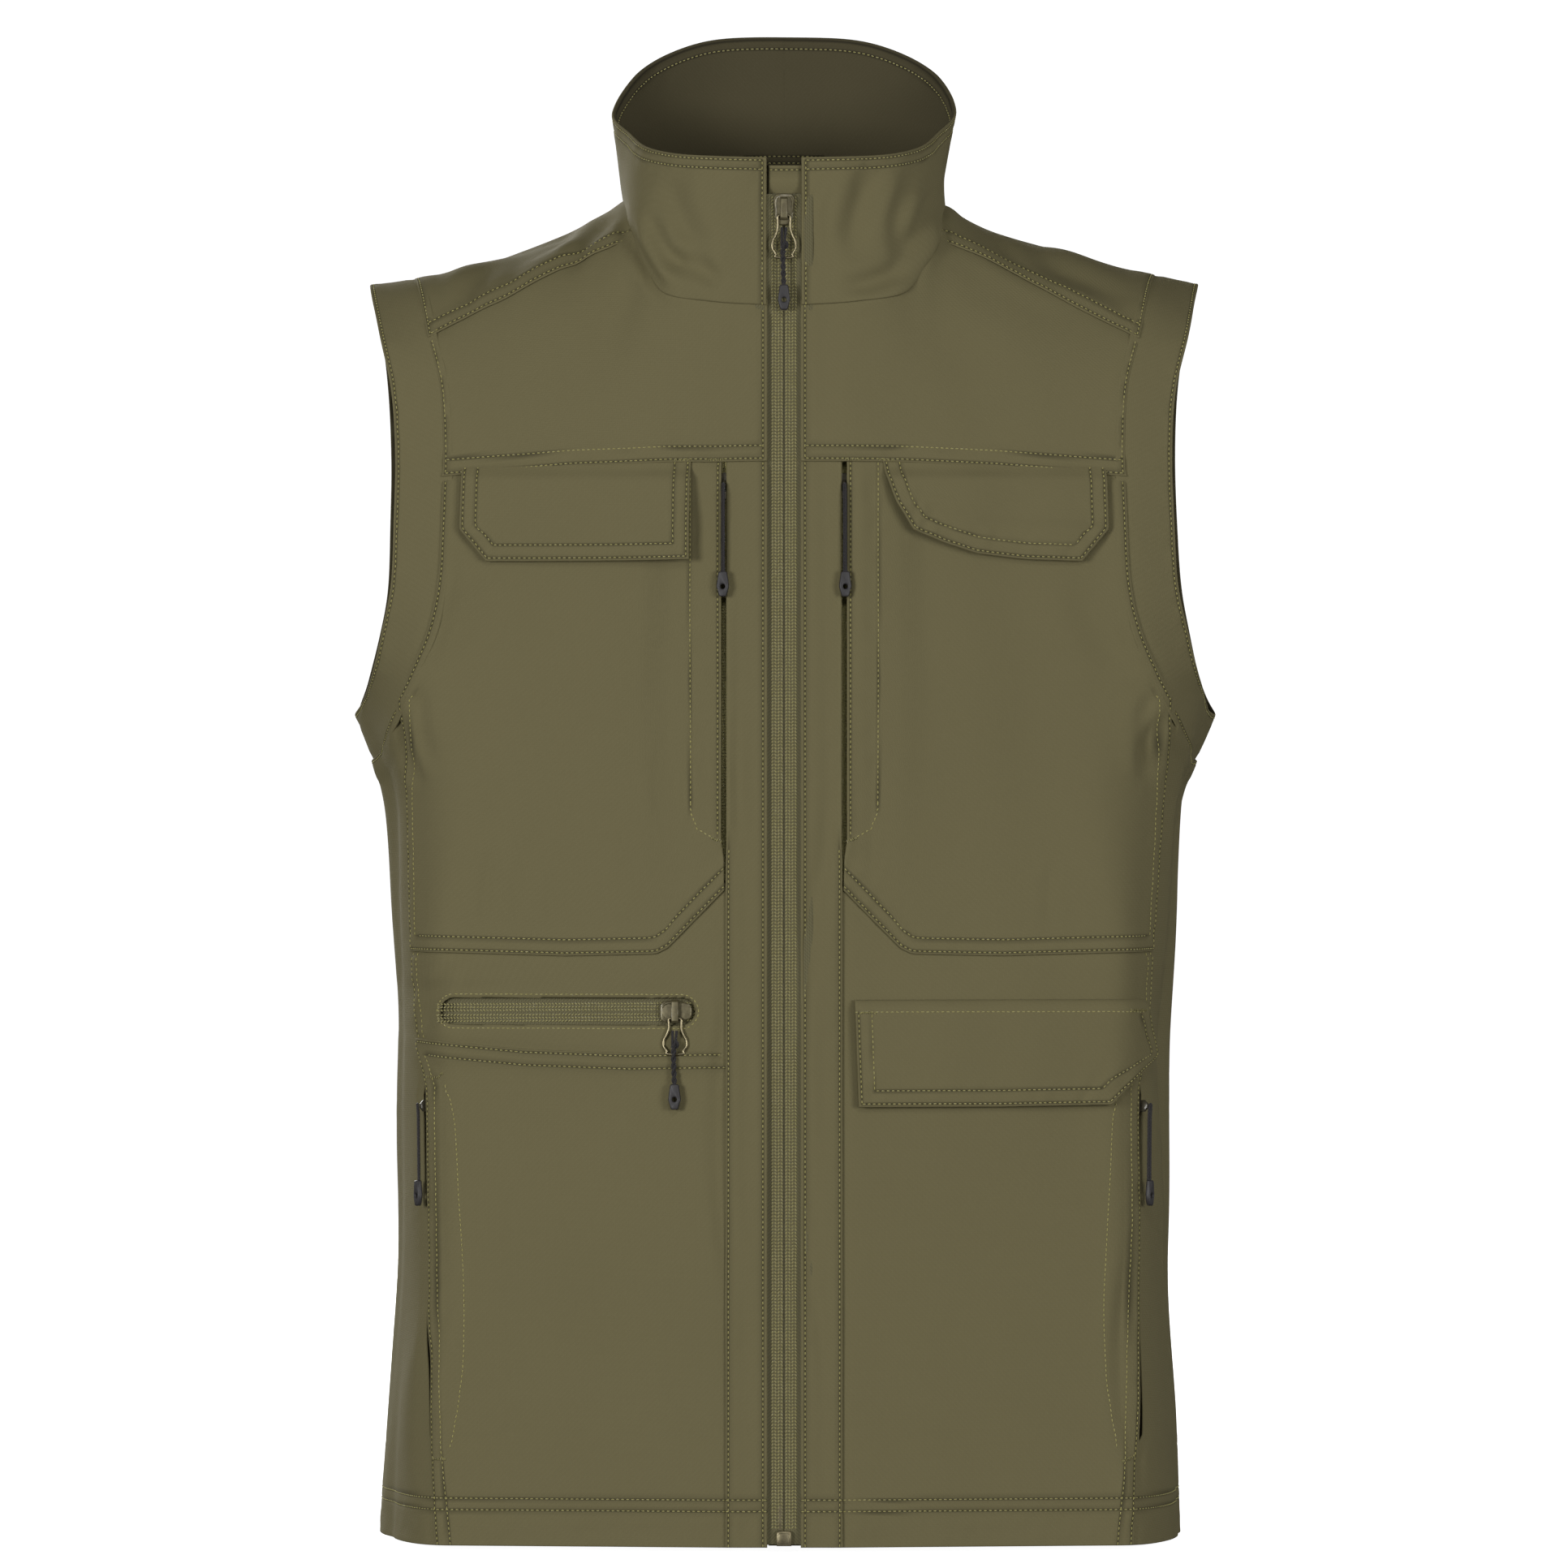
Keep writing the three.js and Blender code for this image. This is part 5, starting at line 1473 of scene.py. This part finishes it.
def cord_end_parts(start, length=13.2, low=0.4, high=3.4):
    half = [(1.5, -start), (2.3, -start - 0.7), (3.25, -start - length * 0.6), (1.9, -start - length + 0.5),
            (1.2, -start - length)]
    hole = circle(0, -start - length * 0.6, 1.2)
    return [plate(mirrored(half), low, high, 0.75, hole)]


def beads(path, pitch=1.5, radius=0.75):
    """A nylon coil seen as a row of close turns along a straight line."""
    a, b = (np.array(p, float) for p in path)
    length = np.linalg.norm(b - a)
    count = int(length / pitch) * 4
    at = np.linspace(0, 1, count + 1)
    swell = radius * (0.78 + 0.22 * np.cos(at * count / 4 * 2 * math.pi))
    return tube(a + at[:, None] * (b - a), swell, 6)


CHAIN_SLANT = 0.6


def chain(frame_of, columns, low, high, out):
    """The stitching that holds a coil to its tape, in columns along local Y."""
    lines = []
    for x, lean in columns:
        ends = frame_of.at(np.array([(x, low, out), (x, high, out)]))
        normal = np.array([frame_of.axes[2]] * 2)
        lines.append(((ends, normal), lean * CHAIN_SLANT))
    return lines


COLUMNS = [(1.2, 1), (2.8, -1), (4.4, 1), (6.0, -1)]
HEM = zip_frame(0)
STRETCH = 1 / UP[2]


def chain_pieces(name, groups, body):
    parts = []
    for line, lean in groups:
        piece = stitched("chain", [line], pitch=1.7, length=1.5, radius=0.42, material=COIL, slant=lean)
        corners = np.array([v.co for v in piece.data.vertices]) / MM
        parts.append((corners, [tuple(f.vertices) for f in piece.data.polygons]))
        bpy.data.objects.remove(piece)
    vertices, faces = together(parts)
    made = make_mesh(name, vertices, faces, COIL, body)
    return made


def wire_pull(kind, slider, body, nodes, wire, cord, tip):
    """The bent wire, the doubled cord and the moulded end that hang from a slider's bail."""
    pivot = slider.moved(y=PIVOT["along"], z=PIVOT["out"])
    hard_piece(f"{kind}_pull_wire", wire_pull_parts(wire), pivot, NICKEL, body, nodes[:1])
    hard_piece(f"{kind}_pull_strands", cord_parts(*cord), pivot, CORD, body, nodes[1:2])
    hard_piece(f"{kind}_pull_tip", cord_end_parts(tip), pivot, RUBBER, body, nodes[2:])


def main_zip():
    for side in (-1, 1):
        name = side_name(side)
        body = f"{name}_front"
        inner_sheet(f"main_tape_cloth_{name}", side, 0.12, 15, 1.5, 699, 2.1, f"main_tape_{name}", body,
                    0.6, TAPE, 2.0, True,
                    lift=lambda p: 1.7 * smooth(8.2, 10.9, np.abs(p[..., 0])))
        first = 21 if side < 0 else 10
        coil = [beads([(side * 1.15, z * STRETCH, -3.5) for z in (first, 697)])]
        hard_piece(f"main_coil_turns_{name}", coil, HEM, COIL, body, [f"main_coil_{name}"])
        columns = [(side * c, lean * side) for c, lean in COLUMNS]
        groups = chain(HEM, columns, 9.5 * STRETCH, 698 * STRETCH, -2.15)
        chain_pieces(f"main_chain_{name}", groups, body)
    slider = zip_frame(691)
    hard_piece("main_slider_body", slider_parts(), slider, PAINTED, "main_zip_slider", ["main_slider"])
    wire_pull("main", slider, "main_zip_pull", ["main_pull", "main_pull_cord", "main_pull_end"],
              22.6, (6.4, 37.4, 15.5), 36.2)
    box = [plate([(-3.8, 0.8), (-3.8, 7.6), (-2.8, 8.6), (2.8, 8.6), (3.8, 7.6), (3.8, 0.8)], -6.2, 0.8, 0.6),
           plate([(-2.9, 1.8), (-2.9, 6.6), (-2.2, 7.3), (2.2, 7.3), (2.9, 6.6), (2.9, 1.8)], 0.6, 1.1, 0.3)]
    hard_piece("retainer_box_shell", box, HEM, NICKEL, "left_front", ["zip_retainer_box"])
    pin = [tube([(-2.0, 2, -3.7), (-2.0, 20.6, -3.7)], 1.1, 10),
           plate([(-3.2, 8.8), (-3.2, 21), (-0.9, 21), (-0.9, 8.8)], -2.2, -1.7, 0.2)]
    hard_piece("insertion_pin_bar", pin, HEM, PAINTED, "right_front", ["zip_insertion_pin"])


def slit_zip(kind, side, frame_of, length, reach, tape_depth, half, span, over):
    """A hidden zip: tape and coil behind a slit, a slider with a stem, and a cord pull over the cloth."""
    name = side_name(side)
    low, high = span
    strip = [(-half, low), (half, low), (half, high), (-half, high)]
    bed = [plate(strip, -tape_depth - 1.2, -tape_depth, 0.3)]
    bed += [beads([(x, y, -tape_depth + 0.3) for y in span]) for x in (0.9, -0.9)]
    hard_piece(f"{kind}_zip_strip_{name}", bed, frame_of, COIL, f"{name}_front", [f"{kind}_zip_tape_{name}"])
    back = -tape_depth - 2.6
    waisted = rounded(mirrored([(1.2, 6.6), (3.2, 5.6), (3.3, 0), (2.6, -6.4)]), 3)
    body = plate(waisted, -tape_depth + 0.6, -tape_depth + 2.2, 0.45)
    under = plate(waisted, back - 0.8, back + 0.3, 0.35)
    foot, top = -tape_depth + 1.5, reach - 1.25
    outline = [(-3, foot), (-3, top - 1.8), (-1, top), (1, top), (3, top - 1.8), (3, foot)]
    stem = plate(outline, -0.8, 0.8, 0.3)
    stem = (stem[0][:, [2, 0, 1]], stem[1])
    hard_piece(f"{kind}_slider_body_{name}", [body, under, stem], frame_of, DARK_METAL_AS_SLIT_SHADE,
               f"{name}_{kind}_slider", [f"{kind}_zip_slider_{name}"])
    pivot = frame_of.moved(z=reach)
    strands, end = [], length - 12.4
    for sign in (-1, 1):
        ys = np.linspace(0.6, -end, 24)
        x = sign * np.interp(-ys, [-0.6, 3, length - 20, end], [0.45, 0.4, 0.4, 0.5])
        z = np.interp(-ys, [-0.6, 5], [0.2, over]) + sign * 0.35
        strands.append(tube(points(x, ys, z), 0.66, 8))
    strands.append(tube([(-0.45, 0.6, -0.1), (0, 0.9, 0.2), (0.45, 0.6, 0.5)], 0.62, 8))
    body_name = f"{name}_{kind}_pull"
    hard_piece(f"{kind}_pull_strands_{name}", strands, pivot, CORD, body_name, [f"{kind}_zip_pull_{name}"])
    tip = cord_end_parts(length - 13.2, low=over - 0.7, high=over + 1.9)
    hard_piece(f"{kind}_pull_tip_{name}", tip, pivot, RUBBER, body_name, [])


def lower_zip():
    start = 56.0
    here = sloped_frame(-1, start, ZIP_SLOT["z"])
    turned = here.turned()
    inner_sheet("lower_tape_cloth", -1, 42, 182, ZIP_SLOT["z"] - 10, ZIP_SLOT["z"] + 10, 2.1,
                "lower_zip_tape", "right_front", 0.6, TAPE, 2.0, True)
    stretch = math.hypot(1, FRONT_SLOPE)
    low, high = -12.0, (180 - start) * stretch
    columns = [(sign * c, lean * sign) for sign in (-1, 1) for c, lean in COLUMNS[:3]]
    chain_pieces("lower_chain", chain(turned, columns, low, high, -2.1), "right_front")
    hard_piece("lower_slider_body", slider_parts(across=True), here, PAINTED, "lower_slider",
               ["lower_zip_slider"])
    wire_pull("lower", here, "lower_pull", ["lower_zip_pull", "lower_zip_pull_cord", "lower_zip_pull_end"],
              19, (6.4, 35.2, 13.5), 34)


main_zip()
lower_zip()
for side in (-1, 1):
    slit = sloped_frame(side, 31.2, 550).moved(y=-2.5)
    slit_zip("chest", side, slit, 58, 1.6, 4.4, 9, ((346 - 550) / UP[2], 14), over=1.4)
    slit_zip("hand", side, hand_frame(side), 52, 3.4, 7.4, 8, (-204, 14), over=-0.2)


# ---- stitches ----
def sewn_pieces():
    for key, lines in SEWN.items():
        name = key if isinstance(key, str) else side_name(key)
        piece = stitched(f"stitches_{name}", lines)
        tacks = None
        if key in TACKS:
            tacks = stitched(f"bar_tacks_{name}", TACKS[key], pitch=1.4, length=1.6, radius=0.34,
                             material=TACK_LOOK)
        for made in filter(None, (piece, tacks)):
            hang(made, key)


sewn_pieces()


# ---- camera, light and floor ----
CAMERA_HEIGHT = 0.393
CAMERA_AWAY = 6.0
# Each lamp: name, place, size, power and where it points, in metres and watts
LAMPS = [
    ("key", (-2.4, -3.1, 0.72), 1.1, 74, (0, 0, 0.45)),
    ("fill", (2.4, -3.2, 0.55), 1.3, 54, (0, 0, 0.45)),
    ("top", (0.3, -3.4, 2.3), 0.9, 17, (0, 0, 0.45)),
    ("rear", (-1.4, 3.8, 1.6), 1.8, 110, (0, 0, 0.4)),
    ("wearer_left", (4.0, 0.6, 1.0), 1.8, 16, (0, 0, 0.4)),
    ("wearer_right", (-4.0, 0.6, 1.0), 1.8, 16, (0, 0, 0.4)),
]


def camera_and_lamps():
    camera = bpy.data.cameras.new("camera")
    camera.lens = 262
    camera.sensor_width = 36
    camera.clip_end = 40
    holder = bpy.data.objects.new("camera", camera)
    bpy.context.scene.collection.objects.link(holder)
    holder.location = (0, -CAMERA_AWAY, CAMERA_HEIGHT)
    holder.rotation_euler = (math.radians(90), 0, 0)
    bpy.context.scene.camera = holder
    bpy.context.scene.view_settings.view_transform = "Standard"

    for name, place, size, power, aim in LAMPS:
        light = bpy.data.lights.new(name, "AREA")
        light.shape, light.size, light.energy = "SQUARE", size, power
        lamp = bpy.data.objects.new(name, light)
        lamp.location = place
        lamp.rotation_euler = (Vector(aim) - Vector(place)).to_track_quat("-Z", "Y").to_euler()
        bpy.context.scene.collection.objects.link(lamp)

    world = bpy.data.worlds.new("studio")
    bpy.context.scene.world = world
    world.use_nodes = True
    world.node_tree.nodes["Background"].inputs["Color"].default_value = (1, 1, 1, 1)
    world.node_tree.nodes["Background"].inputs["Strength"].default_value = 0.06


def white_room():
    """A round floor that curves up into a wall. It lights nothing, so the lamps alone shape the cloth."""
    radius, cove, height, drop, sides = 8.0, 1.5, 14.0, 0.003, 72
    turn = np.linspace(0, math.pi / 2, 10)
    curve = [(radius - cove + cove * math.sin(a), cove - cove * math.cos(a)) for a in turn]
    profile = [(0.02, 0.0), (1.0, 0.0), *curve, (radius, height)]
    around = np.arange(sides) * 2 * math.pi / sides
    vertices = [(r * math.cos(a) / MM, r * math.sin(a) / MM, (z - drop) / MM) for r, z in profile
                for a in around]
    faces = ring_faces(len(profile), sides)
    faces.append(tuple(range(sides)))
    paper = Shader("studio paper", 0.9, Emission_Strength=0.96, Emission_Color=(1, 1, 1, 1))
    paper.set(Base_Color=(0.85, 0.85, 0.85, 1))
    room = make_mesh("floor", vertices, faces, paper.material)
    room.visible_diffuse = room.visible_glossy = room.visible_shadow = False


camera_and_lamps()
white_room()
